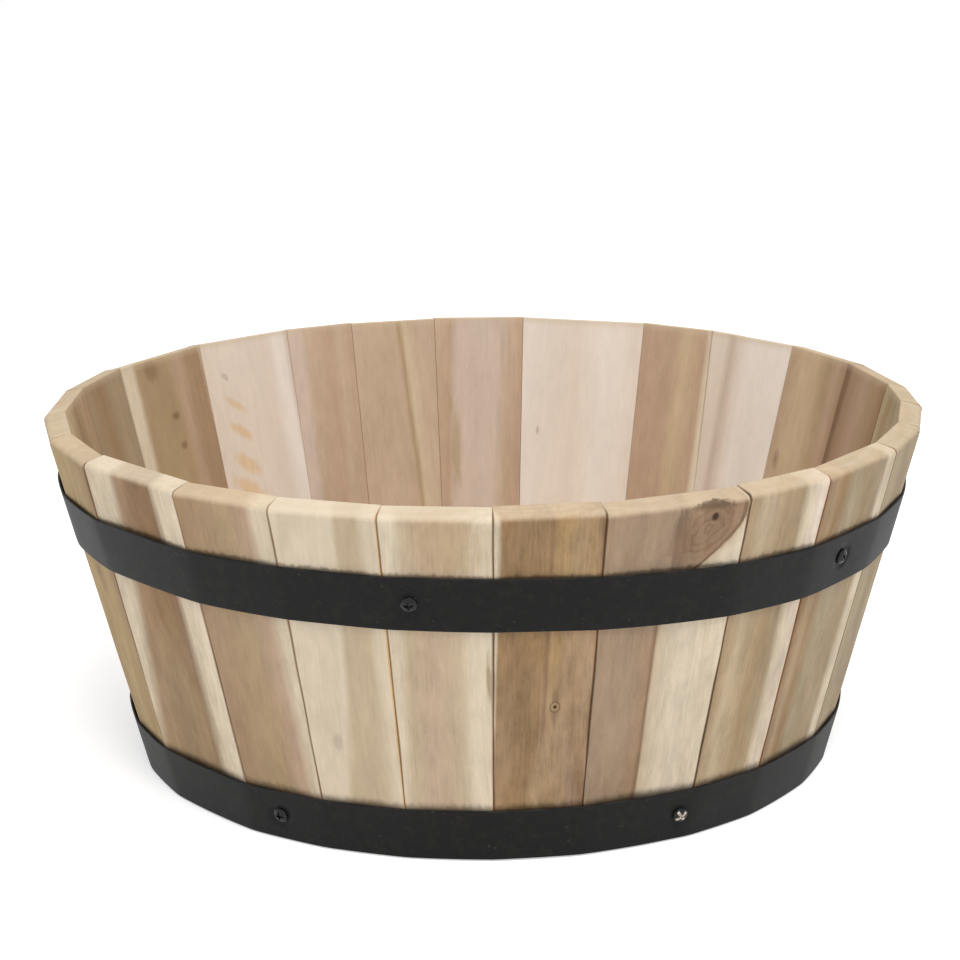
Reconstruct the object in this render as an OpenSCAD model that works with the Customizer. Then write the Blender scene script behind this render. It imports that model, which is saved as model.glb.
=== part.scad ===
// A low barrel planter. Flat staves lean outwards side by side round a boarded floor,
// which sits in a groove near their feet. Two steel bands hoop the staves, and a few
// screws keep the bands from slipping. Each band closes at the back in a riveted lap.
//
// Z is up. The origin is the centre of the ground circle that the staves stand on, and
// the front is towards -Y. Angles round the tub are counted from the front, anticlockwise
// seen from above, in degrees.

/* [Tub] */
// Diameter across the ridges of the rim, outside
rim_d = 508; // [420:1:640]
// Height of the rim's outer edge above the ground
tub_h = 201; // [170:1:300]
// How far the ridges between staves lean out from upright
lean = 14.5; // [8:0.5:20]

/* [Staves] */
// Thickness of the stave boards
stave_t = 13; // [11:0.5:18]
// Hairline gap between two staves
stave_gap = 0.2; // [0.1:0.05:0.4]
// Width of the level land sanded under each stave
foot_land = 6; // [3:0.5:9]
// Rounding of the rim's outer edge
rim_round = 3; // [1:0.5:5]
// Rounding of the rim's inner edge
rim_ease = 1; // [0.5:0.5:3]

/* [Floor] */
// Thickness of the floor boards
floor_t = 12; // [10:1:18]
// Height of the floor's underside above the ground
floor_lift = 22; // [20:1:40]
// Number of boards in the floor
floor_boards = 5; // [3:2:7]
// Gap between two floor boards
floor_gap = 1; // [0.5:0.5:3]
// Thickness of the tongue that enters the groove
tongue_t = 6; // [4:0.5:9]
// How far the groove cuts into the staves at its lower edge, beside a joint
groove_bite = 4; // [2:0.5:5]
// Clearance of the tongue in the groove, all round
groove_clear = 0.3; // [0.2:0.05:0.5]
// Diameter of the drain holes
drain_d = 12; // [8:1:16]
// Distance of the outer drain holes from the middle of their board
drain_x = 46; // [25:1:50]

/* [Battens] */
// Width of the battens under the floor
batten_w = 30; // [20:1:40]
// Height of the battens
batten_h = 18; // [12:1:20]
// Distance between the battens' centre lines
batten_spread = 160; // [150:1:200]
// Distance from a batten's end to the staves
batten_clear = 0.5; // [0.3:0.1:3]
// Least distance from a screw to the end of a batten
batten_end = 16; // [12:1:30]

/* [Bands] */
// Width of the steel strap
band_w = 31; // [20:1:34]
// Thickness of the steel strap
band_t = 1.2; // [0.8:0.1:2]
// Clearance between a band and the ridges of the staves
band_seat = 0.2; // [0.1:0.05:0.4]
// Mean distance from the rim down to the upper band, along the staves
upper_drop = 38; // [25:1:70]
// How far the upper band rises and falls about that mean on its way round
upper_sway = 5; // [0:0.5:8]
// Height of the lower band's bottom edge above the ground
lower_lift = 1; // [0.5:0.5:10]
// Length of the lap where a band's ends meet
lap_l = 40; // [32:1:44]
// Gap between the two layers of the lap
lap_gap = 0.1; // [0.05:0.05:0.2]
// Length of the step that lifts one end over the other
lap_step = 5; // [4:0.5:8]

/* [Band screws] */
// Diameter of a screw's pan head
head_d = 8.4; // [7:0.1:9]
// Height of a screw's pan head
head_h = 2.6; // [2:0.1:3]
// Height of the straight side of the head, below its dome
head_side = 1; // [0.6:0.1:1.4]
// Diameter of a band screw's shank
shank_d = 3.8; // [3:0.1:4.2]
// Wood left between the tip of a screw and the far face
screw_skin = 2.5; // [1.5:0.5:4]
// Length across the cross recess in a head
cross_l = 4.6; // [4:0.1:5]
// Width of a slot of the cross recess
cross_w = 1.1; // [0.8:0.1:1.3]
// Depth of the cross recess
cross_z = 1.5; // [1:0.1:1.8]
// Diameter of the flat floor of the dish that a head sits in
dish_d = 9.4; // [9.2:0.1:11]

/* [Rivets and batten screws] */
// Diameter of a rivet's shank
rivet_d = 4; // [3:0.5:5]
// Diameter of a rivet's outer head
rivet_head_d = 8; // [7:0.5:9]
// Height of a rivet's outer head
rivet_head_h = 1.8; // [1.4:0.1:2.2]
// Thickness of a rivet's closed end, inside the band
rivet_tail_h = 0.8; // [0.5:0.1:1]
// Distance between the two rivets of a lap
rivet_pitch = 20; // [14:1:22]
// Diameter of a batten screw's shank
wood_screw_d = 3.5; // [3:0.5:4]
// Diameter of a batten screw's countersunk head
wood_head_d = 7; // [6:0.5:8]

/* [Hidden] */
// Clearance of a shank in its hole, and under a head
shank_clear = 0.1;
head_seat = 0.05;
hole_clear = 0.3;
// Cuts run this far past the faces that they open
past = 1;
front = -90;

$fn = 96;

// Tones of the sorted boards
pale = "#dccbab";
honey = "#c8aa7c";
brown = "#a98b69";
olive = "#b3a079";
steel = "#2c2b2a";
zinc = "#9a9894";

// The staves in order from the joint at FIRST_JOINT. A stave has its width on the rim
// and the tone of its board, and the widths share the rim out in proportion.
FIRST_JOINT = 1;
STAVES = [
    [57, honey], [80, brown], [58, olive], [72, brown], [55, olive],
    [53, brown], [48, honey], [67, honey], [63, brown], [64, pale],
    [59, brown], [88, pale], [63, brown], [60, honey], [49, brown],
    [75, pale], [86, honey], [56, brown], [64, honey], [59, olive],
    [58, honey], [87, pale], [60, brown], [57, pale], [57, honey],
];
// The stave behind which each band closes
LAP_STAVE = 11;

// Where the screws stand round each band. Each is clear of the joints and of the lap.
UPPER_SCREWS = [-9, 52.5, 119.5, 194.5, 269];
LOWER_SCREWS = [-32.2, 30, 104, 180.5, 254.5];
// The upper band is highest here
SWAY_HIGH = -40;
// Each screw stopped at its own turn
SCREW_TURN = 37;

function sum(v, n) = n <= 0 ? 0 : v[n - 1] + sum(v, n - 1);
function wrap(a) = a - 360 * floor(a / 360);
// A length held to a hundredth of a millimetre, so that arcs and flats drawn from it meet
function held(l) = round(100 * l) / 100;

widths = [for (s = STAVES) s[0]];
girth = sum(widths, len(widths));
function share(i) = 360 * widths[i] / girth;
function start_at(i) = FIRST_JOINT + 360 * sum(widths, i) / girth;
function middle(i) = start_at(i) + share(i) / 2;
function stave_at(a) = [for (i = [0 : len(STAVES) - 1]) if (wrap(a - start_at(i)) < share(i)) i][0];

// Radius of the ridges at a height, and their radius inside the staves
rim_r = rim_d / 2;
function ridge_r(z) = rim_r - (tub_h - z) * tan(lean);
function inner_r(z) = ridge_r(z) - stave_t / cos(lean);

// A flat face leans a little less than the ridges that it runs between
function face_lean(i) = atan(tan(lean) * cos(share(i) / 2));
function face_r(i, a, z) = ridge_r(z) * cos(share(i) / 2) / cos(a - middle(i));
widest = max(widths);
function clear_r(z) = ridge_r(z) * cos(180 * widest / girth) - stave_t / cos(lean);

floor_top = floor_lift + floor_t;
tongue_z = floor_top - tongue_t;
groove_r = inner_r(tongue_z) + groove_bite;
tongue_r = groove_r - groove_clear;
floor_r = clear_r(floor_lift) - groove_clear;
board_pitch = (2 * tongue_r + floor_gap) / floor_boards;
board_w = board_pitch - floor_gap;
function board_y(i) = (i - (floor_boards - 1) / 2) * board_pitch;
middle_board = (floor_boards - 1) / 2;

batten_z = floor_lift - batten_h;
batten_room = clear_r(batten_z) - batten_clear;
batten_l = 2 * sqrt(pow(batten_room, 2) - pow((batten_spread + batten_w) / 2, 2));
batten_reach = batten_l / 2 - batten_end;
function screw_y(i) = max(-batten_reach, min(batten_reach, board_y(i)));
wood_screw_skin = floor_t / 4;

// Both bands lie on the cone of the ridges. What is measured across a strap's width or
// through its thickness is longer or shorter when it is measured up or outwards.
band_rise = band_w * cos(lean);
band_x = 1 / cos(lean);
sway_rise = upper_sway * cos(lean);
upper_mid = tub_h - upper_drop * cos(lean) - band_rise / 2;
lower_mid = lower_lift + band_rise / 2;
function mid_z(mid, sway, a) = mid + sway * cos(a - SWAY_HIGH);
function around(l, z) = l / ridge_r(z) * 180 / PI;

// How deep the dish under a screw's head has to be, from the face to the band
function dish_deep(i, a, z) = (ridge_r(z) - face_r(i, a, z)) * cos(lean) + band_seat;

head_dome = head_h - head_side;
dome_r = (pow(head_d / 2, 2) + pow(head_dome, 2)) / (2 * head_dome);

function two_digits(n) = str(n < 10 ? "0" : "", n);
function stave_name(i) = str("stave_", two_digits(i + 1));
function board_name(i) = str("floor_board_", i + 1);

// Turns the children from facing +X to facing a direction round the tub
module facing(a) {
    rotate([0, 0, front + a]) children();
}

// Puts the children on a stave's outer face, with +Z pointing out of the wood
module on_face(i, a, z) {
    translate([face_r(i, a, z) * cos(front + a), face_r(i, a, z) * sin(front + a), z])
        rotate([0, face_lean(i) + 90, front + middle(i)]) children();
}

// Puts the children on the cone of the ridges, with +Z pointing outwards
module on_cone(a, z) {
    translate([ridge_r(z) * cos(front + a), ridge_r(z) * sin(front + a), z])
        rotate([0, lean + 90, front + a]) children();
}

// Side view of a stave: its outer face is on the Y axis, and its square top end at len
module stave_side(len, drop) {
    difference() {
        translate([-stave_t, -drop]) square([stave_t, len + drop]);
        translate([-rim_round, len - rim_round]) square(rim_round + past);
        translate([-stave_t - past, len - rim_ease]) square(rim_ease + past);
    }
    translate([-rim_round, len - rim_round]) circle(rim_round);
    translate([rim_ease - stave_t, len - rim_ease]) circle(rim_ease);
}

// The sector of the tub that one stave fills, short of the hairline at its joints
module sector(i) {
    half = share(i) / 2;
    far = 2 * rim_r;
    side = far * tan(half) - stave_gap / 2 / cos(half);
    linear_extrude(tub_h + stave_t)
        polygon([[stave_gap / 2 / sin(half), 0], [far, -side], [far, side]]);
}

// The shank holes for the screws of one band that stand in this stave. Each is turned a
// little about its axis, which keeps its seam off the lowest point of its mouth.
module pilot_holes(i, angles, mid, sway) {
    deep = stave_t - screw_skin + hole_clear;
    for (a = angles)
        if (stave_at(a) == i)
            on_face(i, a, mid_z(mid, sway, a))
                translate([0, 0, -deep])
                    rotate(30) cylinder(d = shank_d + 2 * shank_clear, h = deep + past);
}

// A stave is a flat board that stands on the ground circle and leans out. Its edges are
// cut to the joints, its top end is square, and its foot is sanded to a level land.
module stave(i) {
    lean_i = face_lean(i);
    drop = held(foot_land * sin(lean_i));
    color(STAVES[i][1])
        difference() {
            facing(middle(i))
                intersection() {
                    translate([ridge_r(0) * cos(share(i) / 2), 0, 0])
                        rotate([90, 0, 0]) rotate([0, 0, -lean_i])
                            linear_extrude(2 * widest, center = true)
                                stave_side(held(tub_h / cos(lean_i)), drop);
                    sector(i);
                }
            translate([0, 0, tongue_z - groove_clear])
                cylinder(r = groove_r, h = tongue_t + 2 * groove_clear);
            pilot_holes(i, UPPER_SCREWS, upper_mid, sway_rise);
            pilot_holes(i, LOWER_SCREWS, lower_mid, 0);
        }
}

// Where the battens' screws stand: one in each board, over each batten
module at_batten_screws(sides, boards) {
    for (side = sides, i = boards)
        translate([side * batten_spread / 2, screw_y(i), batten_z]) children();
}

module wood_screw_hole() {
    translate([0, 0, -past])
        cylinder(d = wood_screw_d + 2 * shank_clear, h = past + wood_screw_reach() + hole_clear);
}
function wood_screw_reach() = batten_h + floor_t - wood_screw_skin;

// A board of the floor. Its rim is thinned to a tongue that enters the groove.
module floor_board(i) {
    color(i % 2 == 0 ? honey : olive)
        difference() {
            intersection() {
                union() {
                    translate([0, 0, floor_lift]) cylinder(r = floor_r, h = floor_t);
                    translate([0, 0, tongue_z]) cylinder(r = tongue_r, h = tongue_t);
                }
                translate([-rim_r, board_y(i) - board_w / 2, floor_lift - past])
                    cube([rim_d, board_w, floor_t + 2 * past]);
            }
            drains(i);
            at_batten_screws([-1, 1], [i]) wood_screw_hole();
        }
}

// One drain hole in the middle board and two in each of the boards beside it
module drains(i) {
    off = abs(i - middle_board);
    spots = off == 0 ? [0] : off == 1 ? [-drain_x, drain_x] : [];
    for (x = spots)
        translate([x, board_y(i), floor_lift - past])
            cylinder(d = drain_d, h = floor_t + 2 * past);
}

// A batten under the floor ties its boards together
module batten(side) {
    color(brown)
        difference() {
            translate([side * batten_spread / 2 - batten_w / 2, -batten_l / 2, batten_z])
                cube([batten_w, batten_l, batten_h]);
            at_batten_screws([side], [0 : floor_boards - 1]) {
                wood_screw_hole();
                countersink(wood_head_d + 2 * shank_clear);
            }
        }
}

// The cone of a countersunk head, its wide end level with the batten's underside
module countersink(d) {
    translate([0, 0, -past]) cylinder(d1 = d + 2 * past, d2 = 0, h = d / 2 + past);
}

module batten_screws() {
    color(zinc)
        at_batten_screws([-1, 1], [0 : floor_boards - 1]) {
            cylinder(d = wood_screw_d, h = wood_screw_reach());
            cylinder(d1 = wood_head_d, d2 = 0, h = wood_head_d / 2);
        }
}

// A stretch of strap on the cone of the ridges: from one angle through a sweep, between
// two distances from the cone, and between two heights
module strap(from, sweep, near, away, low, high) {
    facing(from)
        rotate_extrude(angle = sweep)
            polygon([
                [ridge_r(low) + near * band_x, low], [ridge_r(low) + away * band_x, low],
                [ridge_r(high) + away * band_x, high], [ridge_r(high) + near * band_x, high],
            ]);
}

// A band's three stretches: once round on the ridges, the lapped end on top of its start,
// and the step that joins the two layers through the middles of their thickness
module hoop(mid, sway) {
    low = mid - band_rise / 2 - sway;
    high = mid + band_rise / 2 + sway;
    lap = around(lap_l, mid);
    step = around(lap_step, mid);
    slit = around(hole_clear, mid);
    start = middle(LAP_STAVE) - lap / 2;
    over = band_t + lap_gap;
    core = band_seat + band_t / 2;
    intersection() {
        union() {
            strap(start, 360 - step / 2, band_seat, band_seat + band_t, low, high);
            strap(start - step, step - slit, core, core + over, low, high);
            strap(start - step / 2, step / 2 + lap, band_seat + over, band_seat + band_t + over, low, high);
        }
        translate([0, 0, mid]) facing(SWAY_HIGH)
            rotate([0, -atan(sway / ridge_r(mid)), 0])
                cube([2 * rim_d, 2 * rim_d, band_rise], center = true);
    }
}

// The metal of a dish pressed into the band down to the stave, under a screw's head
module dish_back(deep) {
    wall = band_t * (sqrt(2) - 1);
    translate([0, 0, head_seat])
        cylinder(r1 = dish_d / 2 + wall, r2 = dish_d / 2 + wall + deep + band_t, h = deep + band_t);
}

module dish_hollow(deep) {
    floor_at = head_seat + band_t;
    rise = deep + band_t;
    translate([0, 0, floor_at]) cylinder(r1 = dish_d / 2, r2 = dish_d / 2 + rise, h = rise);
    translate([0, 0, -past])
        cylinder(d = shank_d + 2 * hole_clear, h = floor_at + 2 * past);
}

// Everything inside the middle of the strap's thickness, where a dish's back merges in
module inside_band(mid) {
    low = mid - band_w;
    high = mid + band_w;
    skin = (band_seat + band_t / 2) * band_x;
    translate([0, 0, low])
        cylinder(r1 = ridge_r(low) + skin, r2 = ridge_r(high) + skin, h = high - low);
}

module band(mid, sway, angles) {
    color(steel)
        difference() {
            union() {
                hoop(mid, sway);
                intersection() {
                    inside_band(mid);
                    for (a = angles) {
                        i = stave_at(a);
                        z = mid_z(mid, sway, a);
                        on_face(i, a, z) dish_back(dish_deep(i, a, z));
                    }
                }
            }
            for (a = angles) {
                i = stave_at(a);
                z = mid_z(mid, sway, a);
                on_face(i, a, z) dish_hollow(dish_deep(i, a, z));
            }
            at_rivets(mid, sway)
                cylinder(d = rivet_d + 2 * shank_clear, h = 4 * lap_l, center = true);
        }
}

// Puts the children at the two rivets of a band's lap
module at_rivets(mid, sway) {
    for (side = [-1, 1]) {
        a = middle(LAP_STAVE) + side * around(rivet_pitch, mid) / 2;
        on_cone(a, mid_z(mid, sway, a)) children();
    }
}

module rivets(mid, sway) {
    top = band_seat + 2 * band_t + lap_gap + head_seat;
    bottom = band_seat - head_seat;
    color(steel)
        at_rivets(mid, sway) {
            translate([0, 0, bottom - rivet_tail_h])
                cylinder(d = rivet_d, h = top - bottom + rivet_tail_h + rivet_head_h / 2);
            translate([0, 0, bottom - rivet_tail_h])
                cylinder(d = rivet_d + 2, h = rivet_tail_h);
            translate([0, 0, top])
                cylinder(d1 = rivet_head_d, d2 = rivet_d, h = rivet_head_h);
        }
}

// A pan-headed screw with a cross recess. Its head rests in the dish of the band.
module band_screw(turn) {
    seat = 2 * head_seat + band_t;
    tip = stave_t - screw_skin;
    difference() {
        union() {
            translate([0, 0, seat])
                intersection() {
                    cylinder(d = head_d, h = head_h);
                    translate([0, 0, head_h - dome_r]) sphere(dome_r);
                }
            translate([0, 0, shank_d / 2 - tip])
                cylinder(d = shank_d, h = tip + seat + head_side - shank_d / 2);
            translate([0, 0, -tip]) cylinder(d1 = 0, d2 = shank_d, h = shank_d / 2);
        }
        for (quarter = [0, 90])
            translate([0, 0, seat + head_h - cross_z / 2 + past / 2])
                rotate([0, 0, turn + quarter])
                    cube([cross_l, cross_w, cross_z + past], center = true);
    }
}

module band_screws(mid, sway, angles) {
    color(steel)
        for (k = [0 : len(angles) - 1]) {
            a = angles[k];
            on_face(stave_at(a), a, mid_z(mid, sway, a)) band_screw(k * SCREW_TURN);
        }
}

for (i = [0 : len(STAVES) - 1])
    stave(i);
for (i = [0 : floor_boards - 1])
    floor_board(i);
batten(-1);  // batten_left
batten(1);  // batten_right
batten_screws();
band(upper_mid, sway_rise, UPPER_SCREWS);  // upper_band
rivets(upper_mid, sway_rise);  // upper_band_rivets
band_screws(upper_mid, sway_rise, UPPER_SCREWS);  // upper_band_screws
band(lower_mid, 0, LOWER_SCREWS);  // lower_band
rivets(lower_mid, 0);  // lower_band_rivets
band_screws(lower_mid, 0, LOWER_SCREWS);  // lower_band_screws
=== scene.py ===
# %% [markdown]
# # A low barrel planter
# Twenty-five flat staves of sorted acacia lean outwards round a boarded floor. Two black
# steel bands hoop them, and a few screws keep the bands from slipping. This notebook
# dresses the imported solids: it works out finer surfaces for the wood, the straps and the
# fasteners, and gives each a finish made of nodes. Everything is measured in millimetres
# and turned into metres only when a mesh is made.

# %% Load the frame
import math

import bpy
import numpy as np
from mathutils import Matrix, Vector


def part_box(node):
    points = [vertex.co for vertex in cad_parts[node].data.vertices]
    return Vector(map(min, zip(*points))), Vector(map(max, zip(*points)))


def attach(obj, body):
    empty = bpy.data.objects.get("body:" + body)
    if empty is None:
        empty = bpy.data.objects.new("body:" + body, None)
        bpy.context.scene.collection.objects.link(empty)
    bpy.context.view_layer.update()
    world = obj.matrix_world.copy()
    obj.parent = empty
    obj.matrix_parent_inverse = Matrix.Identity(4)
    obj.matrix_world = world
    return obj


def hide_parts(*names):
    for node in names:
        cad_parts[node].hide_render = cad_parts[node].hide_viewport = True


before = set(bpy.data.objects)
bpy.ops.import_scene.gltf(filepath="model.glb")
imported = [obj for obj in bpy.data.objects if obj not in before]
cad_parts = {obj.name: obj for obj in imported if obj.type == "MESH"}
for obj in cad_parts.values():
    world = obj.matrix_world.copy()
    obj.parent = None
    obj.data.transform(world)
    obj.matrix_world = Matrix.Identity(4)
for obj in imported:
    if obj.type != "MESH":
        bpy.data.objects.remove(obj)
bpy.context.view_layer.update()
MM = 0.001

# %% [markdown]
# ## The measures of the tub
# The ridges between the staves lie on a cone: 254 mm from the axis at the rim, and 14.5
# degrees out from upright. A stave is the flat board between two ridges, so it leans a
# little less than they do. These few numbers repeat the part's own source, and every
# surface below is worked out from them.

# %% Measures of the tub
TUB_H, RIM_R, LEAN = 201.0, 254.0, math.radians(14.5)
STAVE_T, GAP, FOOT_LAND = 13.0, 0.2, 6.0
RIM_ROUND, RIM_EASE = 3.0, 1.0
GROOVE_R, GROOVE_Z = 199.83, (27.7, 34.3)
UP = np.array([0, 0, 1.0])
WIDTHS = np.array([
    57, 80, 58, 72, 55, 53, 48, 67, 63, 64, 59, 88, 63,
    60, 49, 75, 86, 56, 64, 59, 58, 87, 60, 57, 57], float)
FIRST_JOINT = 1.0
JOINTS = FIRST_JOINT + 360 * np.concatenate([[0], np.cumsum(WIDTHS)]) / WIDTHS.sum()


def ridge_r(z):
    """Radius of the ridges at a height: the rim's radius less the lean over the drop."""
    return RIM_R - (TUB_H - z) * math.tan(LEAN)


print("joints, degrees from the front:", np.round(JOINTS, 1))

# %% [markdown]
# ## From a grid to a mesh
# Each piece here is a grid of points: rows along one parameter, columns along another.
# Neighbouring rows and columns are joined by quads, and a closed loop joins its last row
# to its first. The open ends are closed by one wide face each, or by a fan of triangles
# to a tip. Another helper puts points and faces into a mesh. It also adds up the signed
# volume: if that comes out negative, the surface is inside out, and the faces are turned.

# %% Grids and meshes
def grid_faces(rows, cols, close_rows=False, close_cols=False, first=0):
    """Quads of a rows x cols grid of points. Point (r, c) has the number first + r*cols + c."""
    r = np.arange(rows if close_rows else rows - 1)
    c = np.arange(cols if close_cols else cols - 1)
    r, c = np.meshgrid(r, c, indexing="ij")
    r2, c2 = (r + 1) % rows, (c + 1) % cols
    quads = np.stack([r * cols + c, r * cols + c2, r2 * cols + c2, r2 * cols + c], axis=-1)
    return (first + quads.reshape(-1, 4)).tolist()


def capped_grid(rows, cols):
    """Faces of a grid closed round its rows, with one wide face over each end column."""
    ring = np.arange(rows) * cols
    caps = [ring.tolist(), (ring + cols - 1)[::-1].tolist()]
    return grid_faces(rows, cols, close_rows=True) + caps


def tipped_grid(rows, cols, first=0):
    """Faces of a grid closed round its columns, with a fan from its first and from its last row
    to a tip each. The two tips are the points that follow the grid."""
    c = np.arange(cols)
    onward = (c + 1) % cols
    last, tip = first + (rows - 1) * cols, first + rows * cols
    low = np.column_stack([np.full(cols, tip), first + onward, first + c])
    high = np.column_stack([np.full(cols, tip + 1), last + c, last + onward])
    return grid_faces(rows, cols, close_cols=True, first=first) + low.tolist() + high.tolist()


def signed_volume(points, faces):
    """Volume inside a closed surface: the sum of the tetrahedra from the origin to each face."""
    total = 0.0
    for size in sorted({len(f) for f in faces}):
        some = np.array([f for f in faces if len(f) == size])
        for k in range(1, size - 1):
            a, b, c = points[some[:, 0]], points[some[:, k]], points[some[:, k + 1]]
            total += float(np.einsum("ij,ij->i", a, np.cross(b, c)).sum()) / 6
    return total


def make_piece(name, points, faces, attributes=None):
    """An object at the origin from points in millimetres and closed faces that point outwards."""
    volume = signed_volume(points - points.mean(axis=0), faces)
    if volume < 0:
        faces = [f[::-1] for f in faces]
    mesh = bpy.data.meshes.new(name)
    mesh.from_pydata((points * MM).tolist(), [], faces)
    mesh.polygons.foreach_set("use_smooth", np.full(len(mesh.polygons), True))
    for key, values in (attributes or {}).items():
        kind = "FLOAT_VECTOR" if values.ndim == 2 else "FLOAT"
        layer = mesh.attributes.new(key, kind, "POINT")
        layer.data.foreach_set("vector" if values.ndim == 2 else "value", values.ravel())
    mesh.validate()
    mesh.update()
    piece = bpy.data.objects.new(name, mesh)
    bpy.context.scene.collection.objects.link(piece)
    print(f"{name}: {len(points)} points, {abs(volume) / 1000:.1f} cm3")
    return piece


# %% [markdown]
# ## Rounded outlines
# No sawn board keeps a knife edge: its corners are eased with a pass of sandpaper. An
# outline is given by its corners and a radius for each, and this helper rounds them with
# short arcs. It also puts a point close beside each arc, so that smooth shading turns
# only within the arc and the flats stay flat.

# %% Rounded outlines
# Steps of an arc, and how close beside it, in mm, a straight run has its first point
ARC_STEPS, BESIDE = 4, 0.3


def spaced(length, step):
    """Distances along a straight run: close to both ends first, then evenly between."""
    if length <= 2.5 * BESIDE:
        return np.array([length / 2])
    return np.linspace(BESIDE, length - BESIDE, max(2, math.ceil(length / step)))


def rounded_outline(corners, radii, step=4.0, grow=0.0):
    """Points round a closed outline. Each corner becomes an arc of its radius, and each straight
    run between two arcs is divided evenly. Radii that grow leave the number of points as it is."""
    corners = np.asarray(corners, float)
    before, after = np.roll(corners, 1, axis=0), np.roll(corners, -1, axis=0)
    back = before - corners
    ahead = after - corners
    back /= np.linalg.norm(back, axis=1)[:, None]
    ahead /= np.linalg.norm(ahead, axis=1)[:, None]
    turn = np.arccos(np.clip((back * ahead).sum(axis=1), -1, 1))
    radii = np.asarray(radii, float)
    plain = radii / np.tan(turn / 2)
    spans = np.linalg.norm(after - corners, axis=1) - plain - np.roll(plain, -1)
    radii = radii + grow
    reach = radii / np.tan(turn / 2)
    middle = back + ahead
    middle /= np.linalg.norm(middle, axis=1)[:, None]
    centre = corners + middle * (radii / np.sin(turn / 2))[:, None]
    enter, leave = corners + back * reach[:, None], corners + ahead * reach[:, None]
    out = []
    for k in range(len(corners)):
        t = np.linspace(0, 1, ARC_STEPS + 1)[:, None]
        spoke = (1 - t) * (enter[k] - centre[k]) + t * (leave[k] - centre[k])
        spoke *= radii[k] / np.linalg.norm(spoke, axis=1)[:, None]
        out.append(centre[k] + spoke)
        run = np.roll(enter, -1, axis=0)[k] - leave[k]
        out.append(leave[k] + run * (spaced(spans[k], step) / spans[k])[:, None])
    return np.concatenate(out)


def inward(outline):
    """Mitre vectors of a closed outline: moving each point along its vector insets it by 1."""
    ahead = np.roll(outline, -1, axis=0) - outline
    ahead /= np.linalg.norm(ahead, axis=1)[:, None]
    normal = np.stack([-ahead[:, 1], ahead[:, 0]], axis=1)
    x, y = outline.T
    normal *= np.sign(np.sum(x * np.roll(y, -1) - np.roll(x, -1) * y))
    last = np.roll(normal, 1, axis=0)
    both = normal + last
    return both / np.maximum(1 + (normal * last).sum(axis=1), 0.4)[:, None]


square = rounded_outline([(0, 0), (30, 0), (30, 30), (0, 30)], [1, 1, 1, 1])
print("a square of 30 mm with eased corners has", len(square), "points")

# %% [markdown]
# ## A stave from the side
# A cooper saws each stave flat and cuts a groove across it for the floor. The outline
# here is the stave's side view: outer face, rounded rim, square end, inner face with the
# groove, and the level foot. It could be drawn upright and leaned over as an object, but
# a second outline, for the planed edges, has to meet the next stave's, so both are worked
# out in place.

# %% A stave's side view and frame
MEET_IN = 1.5


def ease(t):
    """Smooth step: 0 at 0, 1 at 1, level at both ends."""
    t = np.clip(t, 0, 1)
    return t * t * (3 - 2 * t)


def stave_frame(i):
    """A stave's middle angle, half share and lean, and its directions outwards and across."""
    half = math.radians(JOINTS[i + 1] - JOINTS[i]) / 2
    middle = math.radians(JOINTS[i + 1] + JOINTS[i]) / 2
    lean = math.atan(math.tan(LEAN) * math.cos(half))
    outwards = np.array([math.sin(middle), -math.cos(middle), 0])
    across = np.array([math.cos(middle), math.sin(middle), 0])
    return middle, half, lean, outwards, across


def side_view(foot, long, half, lean):
    """A stave's outline from the side, as (y up the face, d deep), then the outline of the part
    where the planed edges meet, and the depth of the groove's floor. A point at y and d is
    y*sin(lean) - d*cos(lean) further out than the foot, and y*cos(lean) + d*sin(lean) up."""
    drop = FOOT_LAND * math.sin(lean)
    groove = GROOVE_R * math.cos(half)
    low, high = GROOVE_Z

    def at(z, radius):
        """(y, d) of a point at a height and a distance from the axis."""
        out = radius - foot
        return out * math.sin(lean) + z * math.cos(lean), z * math.sin(lean) - out * math.cos(lean)

    def inside(z):
        """(y, d) of the inner face at a height."""
        return (z - STAVE_T * math.sin(lean)) / math.cos(lean), STAVE_T

    corners = [(0, 0), (long, 0), (long, STAVE_T), inside(high), at(high, groove), at(low, groove),
               inside(low), (-drop, STAVE_T), (-drop, FOOT_LAND * math.cos(lean))]
    radii = np.array([0.8, RIM_ROUND, RIM_EASE, 0.4, 0.3, 0.3, 0.4, 0.6, 0.3])
    # Set in, a corner that points outwards keeps its radius, so it starts out wider by as much
    points_out = np.array([1, 1, 1, 1, 0, 0, 1, 1, 1])
    core = rounded_outline(corners, radii, grow=MEET_IN * points_out)
    return rounded_outline(corners, radii), core + inward(core) * MEET_IN, at(low, groove)[1]


print("stave 12 leans", round(math.degrees(stave_frame(11)[2]), 2), "degrees")

# %% [markdown]
# ## Across a stave
# The side view is carried across the board from one joint to the other. Near each joint
# the columns draw it in, which eases the long edges. Real joints aren't laid out with a
# protractor, so some slant a little, and both neighbours follow. At the faces a joint is
# a fine slot, and a little way in the two planed edges meet, so that no light comes
# through.

# %% The stave's surface
# How far the long edges are eased, how much tighter inside, and half the gap left within
EDGE, EDGE_TIGHTER, MEET_GAP = 0.45, 0.82, 0.01
# Joints that visibly slant, by number, and how many degrees they turn from foot to rim
SLANTS = {2: 0.5, 8: -1.0, 9: -1.0, 10: 2.5, 16: -0.5, 17: -1.0, 21: 1.5, 22: -1.0, 23: -1.0, 24: -0.5}
waver = np.random.default_rng(25)


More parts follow.
